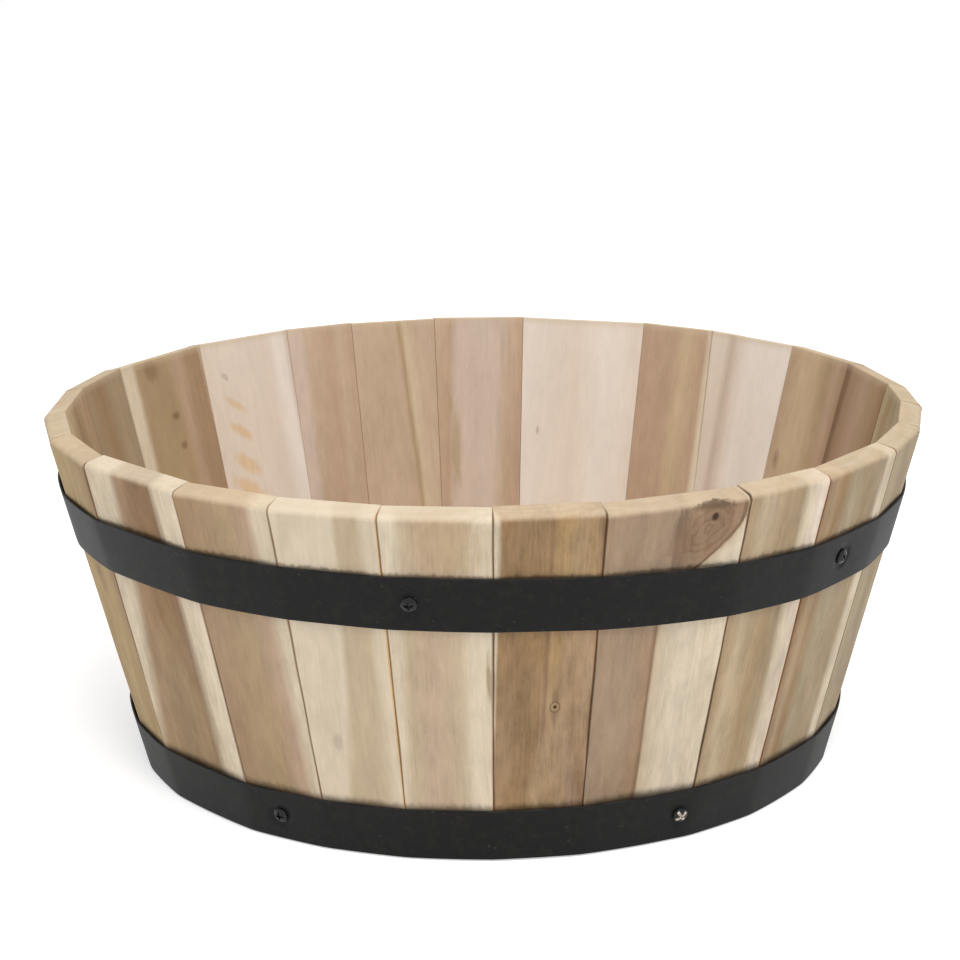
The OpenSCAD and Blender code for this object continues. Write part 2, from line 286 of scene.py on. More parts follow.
def board_columns(width):
    """Each column's place from the left joint (0) to the right one (1), the share of the easing
    that it stands off the left and off the right joint, and the share that it draws in. The
    outermost columns lie where the planed edges meet, and three more make each eased edge."""
    turn = np.linspace(0, math.pi / 2, 4)[:-1]
    stand_off, draw_in = 1 - np.cos(turn), 1 - np.sin(turn)
    flat = np.concatenate([[0], np.linspace(0.4 / width, 1 - 0.4 / width, 13), [1]])
    slide = np.concatenate([np.zeros(4), flat, np.ones(4)])
    off_left = np.concatenate([[0], stand_off, np.ones(len(flat) + 4)])
    shrink = np.concatenate([[1], draw_in, 0 * flat, draw_in[::-1], [1]])
    return slide, off_left, off_left[::-1], shrink


def stave_surface(i, setback, drop_top):
    """Points of stave i by outline point and column, and what its finish reads there: the place
    on the board, how far it is end grain, and how far it is a rubbed edge or a joint."""
    middle, half, lean, outwards, across = stave_frame(i)
    foot = ridge_r(0) * math.cos(half) - setback
    long = TUB_H / math.cos(lean) - drop_top
    outline, core, groove_d = side_view(foot, long, half, lean)
    slide, off_left, off_right, shrink = board_columns(WIDTHS[i])
    y0, d0 = outline.T

    # The eased edges are worn unevenly along their length, and inside they are left tight
    outer = 1 - EDGE_TIGHTER * ease(d0 / STAVE_T)

    def worn():
        slow = 0.35 * np.sin(y0 / waver.uniform(14, 30) + waver.uniform(0, 6))
        quick = 0.25 * np.sin(y0 / waver.uniform(5, 9) + waver.uniform(0, 6))
        return (EDGE * outer * (1 + slow + quick))[:, None]

    left, right = worn(), worn()
    edge = left * (slide < 0.5) + right * (slide >= 0.5)
    inset = inward(outline)
    y, d = (outline[:, [k]] + inset[:, [k]] * edge * shrink for k in (0, 1))
    y[:, [0, -1]], d[:, [0, -1]] = core[:, :1], core[:, 1:]
    out = foot + y * math.sin(lean) - d * math.cos(lean)
    z = y * math.cos(lean) + d * math.sin(lean)

    def side(j, sign):
        """Distance from the middle line to joint j, at this point's height and radius."""
        angle = np.radians(JOINTS[j] + SLANTS.get(j, 0.0) * (z / TUB_H - 0.5)) - middle
        return out * np.tan(angle) + sign * GAP / 2 / math.cos(half)

    meets = np.zeros(len(slide))
    meets[[0, -1]] = GAP / 2 - MEET_GAP
    a = side(i, 1) + left * off_left - meets
    b = side(i + 1, -1) - right * off_right + meets
    x = a + (b - a) * slide

    # The groove's floor is cut round, so its points go out to the groove's own radius
    in_groove = (np.abs(d0 - groove_d) < 3.0) & (y0 > 20) & (y0 < 40) & (d0 < STAVE_T - 1.2)
    out = out + in_groove[:, None] * (GROOVE_R * np.cos(np.arctan2(x, out)) - GROOVE_R * math.cos(half))
    points = out[..., None] * outwards + x[..., None] * across + z[..., None] * UP

    top = ease((y - (long - RIM_ROUND)) / RIM_ROUND * 1.1)
    under = ease((0.6 - z) / 0.6) + ease((0.5 - (y + FOOT_LAND * math.sin(lean))) / 0.5)
    at_joint = np.where((slide == 0) | (slide == 1), 0.85, 0.0)
    rubbed = np.broadcast_to(np.maximum(shrink ** 0.5, at_joint), y.shape) * outer[:, None]
    return points, np.stack([x, y, d], axis=-1), np.clip(top + under, 0, 1), rubbed


def make_stave(i, setback, drop_top):
    """The closed stave: the grid carried across the board, and a wide face on each joint."""
    points, board, endness, rubbed = stave_surface(i, setback, drop_top)
    return make_piece(f"stave_board_{i + 1:02d}", points.reshape(-1, 3), capped_grid(*points.shape[:2]),
                      {"board": board.reshape(-1, 3), "endness": endness.ravel(), "rubbed": rubbed.ravel()})


print("columns across a stave:", len(board_columns(WIDTHS[0])[0]), "and", len(SLANTS), "slanting joints")

# %% [markdown]
# ## Setting the staves
# Under the sander the rims come nearly level, yet a hand still feels the small steps
# between boards. Each stave here sits back by up to 0.4 mm and ends up to 0.6 mm short,
# chosen once from a seeded generator, so it is the same on every run. The ends of the
# first three, at the front, are given one by one, and the second stops 0.9 mm short.

# %% Make the staves
setting = np.random.default_rng(7)
SETBACKS = setting.uniform(0.06, 0.4, 25)
SHORTS = setting.uniform(0.0, 0.6, 25)
SHORTS[[0, 1, 2]] = 0.0, 0.9, 0.1
stave_boards = []
for i in range(25):
    piece = make_stave(i, SETBACKS[i], SHORTS[i])
    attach(piece, "root")
    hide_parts(f"stave_{i + 1:02d}")
    stave_boards.append(piece)

# %% [markdown]
# ## The floor
# The floor is five boards whose rims are thinned to a tongue. A board's outline is two
# chords and two arcs of the round floor, or one of each for the outer boards. The surface
# is that outline repeated at each height, drawn in a little where an edge is eased, and
# shrunk to a point in the middle of the top and of the underside. The drain holes are cut
# afterwards with a round tool, as they are drilled in the real boards.

# %% The floor boards' surface
TONGUE_R, BODY_R = 199.53, 190.5
FLOOR_Z, TONGUE_Z, FLOOR_TOP = 22.0, 28.0, 34.0
BOARD_PITCH, BOARD_W, BOARD_EASE = 80.01, 79.01, 0.7
DRAIN_X, DRAIN_R = 46, 6
# Past the floor's rim, where an outer board has no chord
FAR = 400.0


def board_outline(radius, low, high, draw_in):
    """Outline of the slice of a disc between two chords, everything drawn in by a distance."""
    radius, low, high = radius - draw_in, low + draw_in, high - draw_in
    start, end = (math.asin(np.clip(y / radius, -1, 1)) for y in (low, high))
    arc = np.linspace(start, end, 34)
    right = np.stack([radius * np.cos(arc), radius * np.sin(arc)], axis=1)
    if high >= radius:
        right = right[:-1]
    if low <= -radius:
        right = right[1:]
    left = right[::-1] * [-1, 1]

    def across(a, b, y):
        """A chord from x = a to x = b, or one point on the rim where there is no chord."""
        if abs(y) >= radius:
            return np.array([[0, math.copysign(radius, y)]])
        x = np.linspace(a, b, 26)[1:-1]
        return np.stack([x, np.full(len(x), y)], axis=1)

    top = across(right[-1, 0], left[0, 0], high)
    return np.concatenate([right, top, left, across(left[-1, 0], right[0, 0], low)])


def make_floor_board(k):
    """Board k of the floor: loops up its side from the underside's middle to the top's."""
    low = (k - 2) * BOARD_PITCH - BOARD_W / 2
    high = FAR if k == 4 else low + BOARD_W
    low = -FAR if k == 0 else low
    e, nick = BOARD_EASE, 0.3
    rows = [(BODY_R, e + 0.4, FLOOR_Z), (BODY_R, e, FLOOR_Z), (BODY_R, nick * e, FLOOR_Z + nick * e),
            (BODY_R, 0, FLOOR_Z + e), (BODY_R, 0, TONGUE_Z - nick), (BODY_R, 0, TONGUE_Z),
            (TONGUE_R, nick, TONGUE_Z), (TONGUE_R, 0, TONGUE_Z + nick), (TONGUE_R, 0, FLOOR_TOP - e),
            (TONGUE_R, nick * e, FLOOR_TOP - nick * e), (TONGUE_R, e, FLOOR_TOP),
            (TONGUE_R, e + 0.4, FLOOR_TOP)]
    loops = []
    for radius, draw_in, z in rows:
        outline = board_outline(radius, low, high, draw_in)
        loops.append(np.column_stack([outline, np.full(len(outline), z)]))
    y_mid = (max(low, -TONGUE_R) + min(high, TONGUE_R)) / 2
    tips = np.array([[0, y_mid, FLOOR_Z], [0, y_mid, FLOOR_TOP]])
    faces = tipped_grid(len(rows), len(loops[0]))
    return make_piece(f"floor_board_dressed_{k + 1}", np.concatenate(loops + [tips]), faces)


def drilled(piece, cutter):
    """Takes the cutter's solid out of the piece, with the result kept as the piece's own mesh."""
    cut = piece.modifiers.new("drill", "BOOLEAN")
    cut.operation, cut.solver, cut.object = "DIFFERENCE", "EXACT", cutter
    bpy.context.view_layer.update()
    shaped = bpy.data.meshes.new_from_object(piece.evaluated_get(bpy.context.evaluated_depsgraph_get()))
    piece.modifiers.remove(cut)
    shaped.set_sharp_from_angle(angle=math.radians(30))
    piece.data = shaped
    bpy.data.objects.remove(cutter)
    print(piece.name, "after drilling:", len(shaped.polygons), "faces")


def turned(name, profile, spots, axes, count=48):
    """Solids of revolution: the profile's (radius, height) points turned about an axis at each
    spot. The profile starts and ends on the axis, where the rows close in one point."""
    turn = np.linspace(0, 2 * math.pi, count, endpoint=False)
    profile = np.asarray(profile, float)
    body = profile[1:-1]
    points, faces = [], []
    for spot, axis in zip(spots, axes):
        axis = np.asarray(axis, float) / np.linalg.norm(axis)
        u = np.cross(axis, UP if abs(axis[2]) < 0.9 else [1.0, 0.0, 0.0])
        u /= np.linalg.norm(u)
        ring = np.cos(turn)[:, None] * u + np.sin(turn)[:, None] * np.cross(axis, u)
        faces += tipped_grid(len(body), count, first=sum(len(p) for p in points))
        rows = body[:, None, :1] * ring[None] + body[:, None, 1:] * axis
        ends = profile[[0, -1], 1:] * axis
        points.append(np.concatenate([rows.reshape(-1, 3), ends]) + np.asarray(spot, float))
    return make_piece(name, np.concatenate(points), faces)


# %% Make the floor
DRAINS = {1: (-DRAIN_X, DRAIN_X), 2: (0,), 3: (-DRAIN_X, DRAIN_X)}
DRILL = [(0, 15), (DRAIN_R, 15), (DRAIN_R, 40), (0, 40)]
floor_pieces = []
for k in range(5):
    board = make_floor_board(k)
    if k in DRAINS:
        spots = [(x, (k - 2) * BOARD_PITCH, 0) for x in DRAINS[k]]
        drilled(board, turned("drill", DRILL, spots, [UP] * len(spots)))
    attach(board, "root")
    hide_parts(f"floor_board_{k + 1}")
    floor_pieces.append(board)

# %% [markdown]
# ## The battens and their screws
# Two battens under the floor tie its boards together. A batten is a small eased outline
# carried along its length and drawn in at both ends. Ten zinc screws go up through the
# battens, sunk level with the wood in countersinks.

# %% Battens
BATTEN_X, BATTEN_W, BATTEN_Z, BATTEN_EASE = 80.0, 30.0, (4.0, 22.0), 0.8
BATTEN_Y = float(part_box("batten_right")[1][1]) / MM
SCREW_REACH = BATTEN_Y - 16.0
SCREW_Y = np.clip((np.arange(5) - 2) * BOARD_PITCH, -SCREW_REACH, SCREW_REACH)
COUNTERSINK = [(0, -1), (4.6, -1), (3.6, 0), (1.9, 1.7), (1.9, 12), (0, 12)]


def make_batten(name, x):
    """A batten: an eased rectangle carried along Y, drawn in over the last millimetre."""
    left, right = x - BATTEN_W / 2, x + BATTEN_W / 2
    under, top = BATTEN_Z
    corners = [(left, under), (right, under), (right, top), (left, top)]
    outline = rounded_outline(corners, [BATTEN_EASE, BATTEN_EASE, 0.4, 0.4], step=6)
    quarter = np.linspace(0, math.pi / 2, 4)
    y_end = BATTEN_Y - BATTEN_EASE * (1 - np.cos(quarter))[::-1]
    draw_in = BATTEN_EASE * (1 - np.sin(quarter))
    y = np.concatenate([-y_end[::-1], np.linspace(-BATTEN_Y + 1.2, BATTEN_Y - 1.2, 30), y_end])
    shrink = np.concatenate([draw_in, np.zeros(30), draw_in[::-1]])
    flat = outline[:, None, :] + inward(outline)[:, None, :] * shrink[None, :, None]
    points = np.stack([flat[..., 0], np.broadcast_to(y, flat.shape[:2]), flat[..., 1]], axis=-1)
    batten = make_piece(name, points.reshape(-1, 3), capped_grid(*flat.shape[:2]))
    spots = [(x, y_screw, under) for y_screw in SCREW_Y]
    drilled(batten, turned("countersink", COUNTERSINK, spots, [UP] * 5, count=32))
    return batten


batten_pieces = []
for name, node, x in (("batten_bar_left", "batten_left", -BATTEN_X),
                      ("batten_bar_right", "batten_right", BATTEN_X)):
    batten = make_batten(name, x)
    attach(batten, "root")
    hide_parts(node)
    batten_pieces.append(batten)

# %% [markdown]
# ## Screw heads
# A pan head is a low dome with a cross pressed into it. Cutting the cross with a boolean
# would leave hard, faceted walls. Instead the head is a height over the disc: the dome's
# height less the cross's depth, where the cross is two bars with soft walls, deepest in
# the middle. On a fine polar grid those walls come out slightly rounded, as punched
# steel is.

# %% Screw heads
HEAD_D, HEAD_H, HEAD_SIDE, SHANK_D = 8.4, 2.6, 1.0, 3.8
CROSS_L, CROSS_W, CROSS_Z = 4.6, 1.1, 1.5
HEAD_RINGS, HEAD_SPOKES = 46, 132


def cross_depth(x, y, length, width, depth):
    """Depth of a cross recess: two soft bars, sloping up towards their ends."""
    def bar(along, beside):
        walls = ease((width / 2 + 0.12 - np.abs(beside)) / 0.24)
        slope = ease((length / 2 + 0.1 - np.abs(along)) / 0.9)
        return walls * slope
    return depth * np.maximum(bar(x, y), bar(y, x))


def head_points(height, rim_side, radius, cross, turn):
    """A head's rows of points, from the middle of its top out to the rim, down its side and back
    under to the shank, then down the shank. Height is a function of the distance from the axis."""
    angle = np.linspace(0, 2 * math.pi, HEAD_SPOKES, endpoint=False)
    r = np.concatenate([np.linspace(0.04, radius - 0.12, HEAD_RINGS), [radius - 0.04, radius]])
    x, y = r[:, None] * np.cos(angle - turn), r[:, None] * np.sin(angle - turn)
    z = height(r)[:, None] - cross_depth(x, y, *cross)
    z[-1] -= 0.12
    rows = [np.stack([r[:, None] * np.cos(angle), r[:, None] * np.sin(angle), z], axis=-1)]
    for side_r, side_z in rim_side:
        ring = [side_r * np.cos(angle), side_r * np.sin(angle), np.full(HEAD_SPOKES, side_z)]
        rows.append(np.stack(ring, axis=-1)[None])
    tips = [(height(np.zeros(1))[0] - cross[2]) * UP, (rim_side[-1][1] - 0.4) * UP]

    # Round the cross the black is scuffed off, a little wider than the cross itself
    length, width, _ = cross
    patchy = 0.75 + 0.25 * np.sin(3.1 * x + 1.7 * y)
    scuffed = cross_depth(x, y, length * 1.65, width * 1.35, 1.0) * patchy
    unscuffed = np.zeros((len(rim_side), HEAD_SPOKES))
    return np.concatenate(rows), tips, np.concatenate([scuffed, unscuffed])


def make_heads(name, spots, height, rim_side, radius, cross, turns, bare=()):
    """All the heads of one set as one piece. A spot is (point, axis out of the wood). The crosses
    of the heads listed in bare have lost their black, a little way out over the dome."""
    points, faces, shiny = [], [], []
    for k, ((spot, axis), turn) in enumerate(zip(spots, turns)):
        rows, tips, scuffed = head_points(height, rim_side, radius, cross, turn)
        shiny.append(np.concatenate([scuffed.ravel(), [1.0, 0.0]]) * (1.0 if k in bare else 0.0))
        axis = np.asarray(axis, float) / np.linalg.norm(axis)
        side = np.cross(UP, axis) if abs(axis[2]) < 0.9 else np.array([1.0, 0, 0])
        side /= np.linalg.norm(side)
        basis = np.stack([side, np.cross(axis, side), axis])
        faces += tipped_grid(*rows.shape[:2], first=sum(len(p) for p in points))
        points.append(np.asarray(spot) + np.concatenate([rows.reshape(-1, 3), tips]) @ basis)
    return make_piece(name, np.concatenate(points), faces, {"bare": np.concatenate(shiny)})


dome_h = HEAD_H - HEAD_SIDE
dome_r = ((HEAD_D / 2) ** 2 + dome_h ** 2) / (2 * dome_h)


def pan_top(r):
    """Height of a pan head's dome at a distance from its axis."""
    return HEAD_H - dome_r + np.sqrt(dome_r ** 2 - r ** 2)


print("pan head dome radius", round(dome_r, 2))

# %% [markdown]
# ## Where the bands run
# Both bands lie on the cone of the ridges. The lower one is level; the upper one was
# knocked down unevenly, so it rises and falls by about 5 mm, and it dips a little more
# at the front right. A screw stands on the flat face of its stave, square to it.

# %% Band lines and screw places
BAND_W, BAND_T, BAND_SEAT = 31.0, 1.2, 0.2
UPPER_DROP, UPPER_SWAY, SWAY_HIGH, LOWER_LIFT = 38, 5, -40, 1
# The further dip: its depth, its middle in degrees and its reach to either side
DIP, DIP_AT, DIP_REACH = 2.0, 36, 24.0
UPPER_SCREWS, LOWER_SCREWS = [-9, 52.5, 119.5, 194.5, 269], [-32.2, 30, 104, 180.5, 254.5]
BAND_RISE = BAND_W * math.cos(LEAN)
UPPER_MID = TUB_H - UPPER_DROP * math.cos(LEAN) - BAND_RISE / 2
LOWER_MID = LOWER_LIFT + BAND_RISE / 2
SWAY = UPPER_SWAY * math.cos(LEAN)


def upper_line(a):
    """Height of the upper band's middle at an angle in degrees, but for the dip."""
    return UPPER_MID + SWAY * np.cos(np.radians(a - SWAY_HIGH))


def hung_line(a):
    """Height of the upper band's middle as it hangs, with the dip at the front right."""
    off = (a - DIP_AT + 180) % 360 - 180
    return upper_line(a) - DIP * np.exp(-(off / DIP_REACH) ** 2)


def lower_line(a):
    """Height of the lower band's middle, the same all round."""
    return LOWER_MID + 0 * np.asarray(a, float)


def wrapped(a):
    """The same angle, counted on from the first joint."""
    return FIRST_JOINT + (a - FIRST_JOINT) % 360


def stave_at(a):
    """Number of the stave, from 0, that stands at an angle."""
    return np.searchsorted(JOINTS, wrapped(a), side="right") - 1


def screw_place(a, z):
    """Point on the stave's face at an angle and a height, and the face's outward direction."""
    middle, half, lean, outwards, across = stave_frame(int(stave_at(a)))
    turn = math.radians(wrapped(a)) - middle
    r = ridge_r(z) * math.cos(half) / math.cos(turn)
    point = outwards * r * math.cos(turn) + across * r * math.sin(turn) + z * UP
    return point, outwards * math.cos(lean) - math.sin(lean) * UP


UPPER_PLACES = [screw_place(a, float(upper_line(a))) for a in UPPER_SCREWS]
LOWER_PLACES = [screw_place(a, float(lower_line(a))) for a in LOWER_SCREWS]
print("upper band from", round(UPPER_MID - SWAY, 1), "to", round(UPPER_MID + SWAY, 1), "mm up")

# %% [markdown]
# ## The bands
# A band is one strap of steel, wrapped round the tub until its end laps its start. Drawn
# tight, it isn't a true circle: it lies over each ridge in a soft bend and runs nearly
# straight to the next. The strap's rounded section is carried round the tub as a grid,
# and its distance from the axis is the cone's, less a part of the hollow over each flat.
# Each screw draws it down to the wood in a small dish.

# %% The hollow over each flat
FINE_STEPS, BEND_STEPS, PULL_IN = 7200, 16.0, 0.5
fine = np.linspace(0, 360, FINE_STEPS, endpoint=False)
which = stave_at(fine)
half_share = np.radians(np.diff(JOINTS) / 2)[which]
off_middle = np.radians(wrapped(fine) - (JOINTS[which] + JOINTS[which + 1]) / 2)
hollow_sharp = 1 - np.cos(half_share) / np.cos(off_middle)
kernel = np.exp(-0.5 * (np.arange(-60, 61) / BEND_STEPS) ** 2)
hollow_soft = np.convolve(np.tile(hollow_sharp, 3), kernel / kernel.sum(), "same")[FINE_STEPS:2 * FINE_STEPS]


def hollow(a):
    """Share of the radius by which a stave's flat face lies inside the cone, at an angle."""
    return np.interp(a % 360, np.append(fine, 360), np.append(hollow_soft, hollow_soft[0]))


print("deepest hollow", round(RIM_R * hollow_soft.max(), 2), "mm")

# %% The strap's surface
LAP_MIDDLE = (JOINTS[11] + JOINTS[12]) / 2
LAP_L, LAP_STEP, LAP_GAP = 40, 5, 0.1
# A screw's dish ends here, and the strap is drawn in a little as far as DRAWN_R around it
DISH_R, DISH_SLOPE, DRAWN_R, DRAWN = 8.6, 3.6, 26, 0.35


def strap_angles(start, lap, step, screws):
    """Angles along the strap, closer at the screws, over the ridges and at the lap's step."""
    base = np.linspace(start, start + 360 + lap, 460)
    near_screws = [wrapped(a) + np.linspace(-2.9, 2.9, 41) for a in screws]
    bends = [JOINTS[:-1] + k for k in (-0.7, -0.35, 0, 0.35, 0.7)]
    close = np.concatenate(near_screws + bends)
    close = np.where(close < start, close + 360, close)
    laps = start + 360 + np.linspace(-step * 1.4, step * 0.4, 14)
    a = np.unique(np.round(np.concatenate([base, close, laps]), 3))
    return a[(a >= start) & (a <= start + 360 + lap)]


def strap_section():
    """The strap's section as (n outwards, t upwards): both faces and two rounded edges."""
    face = np.concatenate([[-15.1, -14.6], np.linspace(-13, -8.5, 4), np.linspace(-7.8, 7.8, 27),
                           np.linspace(8.5, 13, 4), [14.6, 15.1]])
    curl = np.linspace(-math.pi / 2, math.pi / 2, 7)[1:-1]
    half = BAND_T / 2
    n = np.concatenate([np.full(len(face), BAND_T), half - half * np.sin(curl),
                        np.zeros(len(face)), half + half * np.sin(curl)])
    t = np.concatenate([face, 15.1 + 0.4 * np.cos(curl), face[::-1], -15.1 - 0.4 * np.cos(curl)])
    return n[:, None], t[:, None]


def strap_surface(line, mid, places, screws, wobble):
    """The strap's grid: section point by angle. Its distance from the axis is the cone's radius
    less PULL_IN of the hollow, plus the seat and the thickness, and the lap's step."""
    lap, step = (math.degrees(length / ridge_r(mid)) for length in (LAP_L, LAP_STEP))
    start = LAP_MIDDLE - lap / 2
    a = strap_angles(start, lap, step, screws)
    off_lap = np.minimum((a - LAP_MIDDLE) % 360, (LAP_MIDDLE - a) % 360)
    hollow_in = PULL_IN * ease((off_lap - lap / 2 - 1.5) / 4.0) * hollow(a)
    over = (BAND_T + LAP_GAP) * ease((a - (start + 360 - step)) / step)

    n, t = strap_section()
    phi = np.radians(a)
    z_mid = line(a) + wobble * (0.25 * np.sin(5 * phi + 1) + 0.15 * np.sin(13 * phi))
    z = z_mid + t * math.cos(LEAN) - n * math.sin(LEAN)
    cone = ridge_r(z_mid + t * math.cos(LEAN))
    r = cone * (1 - hollow_in) + (BAND_SEAT + over) / math.cos(LEAN) + n * math.cos(LEAN)
    points = np.stack([r * np.sin(phi), -r * np.cos(phi), z], axis=-1)

    # Under each screw the strap goes down to the face, and it is drawn in a little around it
    for place, normal in places:
        away = points - place
        up = away @ normal
        beside = np.linalg.norm(away - up[..., None] * normal, axis=-1)
        dish = ease((DISH_R - beside) / DISH_SLOPE)
        drawn = DRAWN * ease((DRAWN_R - beside) / DRAWN_R)
        sink = (up - n - 0.06) * (dish + (1 - dish) * drawn)
        points = points - sink[..., None] * normal
    along = np.radians(a - start) * ridge_r(mid)
    return points, np.stack(np.broadcast_arrays(along, t, n), axis=-1)


def make_band(name, line, mid, places, screws, wobble):
    """The whole strap as one piece, with its own length, height and depth for the paint."""
    points, strap = strap_surface(line, mid, places, screws, wobble)
    faces = capped_grid(*points.shape[:2])
    return make_piece(name, points.reshape(-1, 3), faces, {"strap": strap.reshape(-1, 3)})


print("the lap is in the middle of stave 12, at", round(LAP_MIDDLE, 1), "degrees")

# %% [markdown]
# ## The rivets
# Where a band's end laps its start, two rivets hold them together. A rivet is round, so
# its profile, from the flat side against the wood to the low dome outside, is turned
# about its own axis like the drill.

# %% The rivets of a lap
RIVET_PITCH, RIVET_R = 20, 4.0
rivet_top = BAND_SEAT + 2 * BAND_T + 0.15
RIVET = [(0, -0.6), (2.6, -0.6), (3.0, -0.3), (3.0, 0.1), (2.0, 0.14), (2.0, rivet_top),
         (3.8, rivet_top), (RIVET_R, rivet_top + 0.15)]
for q in np.linspace(0, math.pi / 2, 9)[:-1]:
    RIVET.append((RIVET_R * math.cos(q), rivet_top + 0.2 + 1.55 * math.sin(q)))
RIVET.append((0, rivet_top + 1.75))


def rivet_places(line, mid):
    """Points on the cone and directions of the two rivets of a band's lap."""
    pitch = math.degrees(RIVET_PITCH / ridge_r(mid)) / 2
    spots, axes = [], []
    for a in (LAP_MIDDLE - pitch, LAP_MIDDLE + pitch):
        z, phi = float(line(a)), math.radians(a)
        outwards = np.array([math.sin(phi), -math.cos(phi), 0])
        spots.append(outwards * ridge_r(z) + z * UP)
        axes.append(outwards * math.cos(LEAN) - math.sin(LEAN) * UP)
    return spots, axes


print("a rivet's profile has", len(RIVET), "points")

# %% [markdown]
# ## Hooping the tub
# Each band goes on with its five screws and its two rivets. The heads stand on the steel
# where it is drawn down to the wood, square to that stave's face.

# %% Make the bands and their fasteners
HEAD_SIDES = [(HEAD_D / 2, 0.12), (HEAD_D / 2 - 0.12, 0.0), (SHANK_D / 2, 0.0), (SHANK_D / 2, -9.0)]
HEAD_SEAT = BAND_T + 0.1
# Each screw stopped at its own turn, and the second of the lower band shows bare steel
TURNS = [math.radians(37 * k) for k in range(5)]
band_pieces, screw_pieces, rivet_pieces = [], [], []
for level, line, mid, places, screws, wobble, bare in (
        ("upper", hung_line, UPPER_MID, UPPER_PLACES, UPPER_SCREWS, 1.0, ()),
        ("lower", lower_line, LOWER_MID, LOWER_PLACES, LOWER_SCREWS, 0.4, (1,))):
    band = make_band(f"{level}_strap", line, mid, places, screws, wobble)
    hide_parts(f"{level}_band")
    band_pieces.append(band)

    seats = [(point + normal * HEAD_SEAT, normal) for point, normal in places]
    heads = make_heads(f"{level}_strap_screws", seats, pan_top, HEAD_SIDES, HEAD_D / 2,
                       (CROSS_L, CROSS_W, CROSS_Z), TURNS, bare)
    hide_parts(f"{level}_band_screws")
    screw_pieces.append(heads)

    rivets = turned(f"{level}_strap_rivets", RIVET, *rivet_places(line, mid))
    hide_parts(f"{level}_band_rivets")
    rivet_pieces.append(rivets)
    for piece in (band, heads, rivets):
        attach(piece, "root")

# %% [markdown]
# ## The screws under the floor
# The batten screws are countersunk, so their heads are flat discs with a cross, and a
# cone below instead of a dome. The same helper makes them, with a height of nought.

# %% Batten screws
ZINC_SIDES = [(3.3, -0.2), (1.75, -1.75), (1.75, -17.0)]
ZINC_R, ZINC_CROSS = 3.45, (3.6, 0.9, 1.2)
zinc_spots = [((x, y, BATTEN_Z[0] + 0.05), -UP) for x in (-BATTEN_X, BATTEN_X) for y in SCREW_Y]
zinc_heads = make_heads("batten_screw_heads", zinc_spots, np.zeros_like, ZINC_SIDES, ZINC_R, ZINC_CROSS,
                        [0.4 + 0.9 * k for k in range(10)])
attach(zinc_heads, "root")
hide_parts("batten_screws")

# %% [markdown]
# ## Wiring finishes
# A finish is a graph of nodes. Written out one link at a time it hides the idea, so this
# small class wires a node per call and gives back its output: a number feeds a socket's
# own value, and another node's output becomes a link.

# %% Node wiring
class Finish:
    """A material being wired. Every method adds one node and returns its output."""

    def __init__(self, name):
        self.material = bpy.data.materials.new(name)
        self.material.use_nodes = True
        self.tree = self.material.node_tree
        self.shader = self.tree.nodes["Principled BSDF"]

    def feed(self, socket, value):
        if isinstance(value, bpy.types.NodeSocket):
            self.tree.links.new(value, socket)
        elif value is not None:
            socket.default_value = value

    def node(self, kind, inputs=(), **settings):
        made = self.tree.nodes.new(kind)
        for key, value in settings.items():
            setattr(made, key, value)
        for key, value in dict(inputs).items():
            self.feed(made.inputs[key], value)
        return made

    def math(self, operation, a, b=None, c=None):
        made = self.node("ShaderNodeMath", operation=operation)
        for socket, value in zip(made.inputs, (a, b, c)):
            self.feed(socket, value)
        return made.outputs[0]

    def add(self, a, b):
        return self.math("ADD", a, b)

    def minus(self, a, b):
        return self.math("SUBTRACT", a, b)

    def times(self, a, b):
        return self.math("MULTIPLY", a, b)

    def length(self, a, b):
        """sqrt(a^2 + b^2)"""
        return self.math("SQRT", self.add(self.times(a, a), self.times(b, b)))

    def step(self, value, low, high, to_low=0.0, to_high=1.0):
        """Smooth change from to_low to to_high as a value goes from low to high."""
        made = self.node("ShaderNodeMapRange", {"Value": value, "From Min": low, "From Max": high,
                                                "To Min": to_low, "To Max": to_high},
                         interpolation_type="SMOOTHSTEP")
        return made.outputs[0]

    def split(self, vector):
        return self.node("ShaderNodeSeparateXYZ", {0: vector}).outputs

    def join(self, x, y, z):
        return self.node("ShaderNodeCombineXYZ", {0: x, 1: y, 2: z}).outputs[0]

    def noise(self, vector, scale=1.0, detail=2.0, rough=0.5):
        return self.node("ShaderNodeTexNoise", {"Vector": vector, "Scale": scale, "Detail": detail,
                                                "Roughness": rough}).outputs[0]

    def mix(self, amount, a, b):
        """Colour a, and colour b where the amount is 1."""
        made = self.node("ShaderNodeMix", data_type="RGBA", clamp_factor=True)
        self.feed(made.inputs[0], amount)
        self.feed(made.inputs[6], a)
        self.feed(made.inputs[7], b)
        return made.outputs[2]

    def ramp(self, value, stops):
        """Colour by position: stops are (position 0..1, colour)."""
        made = self.node("ShaderNodeValToRGB", {0: value})
        elements = made.color_ramp.elements
        elements[0].position, elements[0].color = stops[0]
        elements[1].position, elements[1].color = stops[-1]
        for position, colour in stops[1:-1]:
            elements.new(position).color = colour
        return made.outputs[0]

    def attribute(self, name, output):
        return self.node("ShaderNodeAttribute", attribute_name=name).outputs[output]


def tone(code):
    """A colour written as on a paint chart, as the linear values that a shader takes."""
    s = np.array([int(code[k:k + 2], 16) for k in (0, 2, 4)]) / 255
    linear = np.where(s <= 0.04045, s / 12.92, ((s + 0.055) / 1.055) ** 2.4)
    return (*[float(v) for v in linear], 1.0)


print("charcoal is", tone("2c2b2a"))

# %% [markdown]
# ## The colours of the wood
# Acacia is sawn from small trees, so one board can hold nearly white sapwood, honey or
# olive heartwood and dark brown streaks. A picture of the wood could be wrapped round the
# tub, but it would stretch and repeat. Instead a small chart of rounded tones serves every
# board, and a board's list says where its broad streaks begin, in millimetres across it.
# All that is finer than a streak comes from noise.

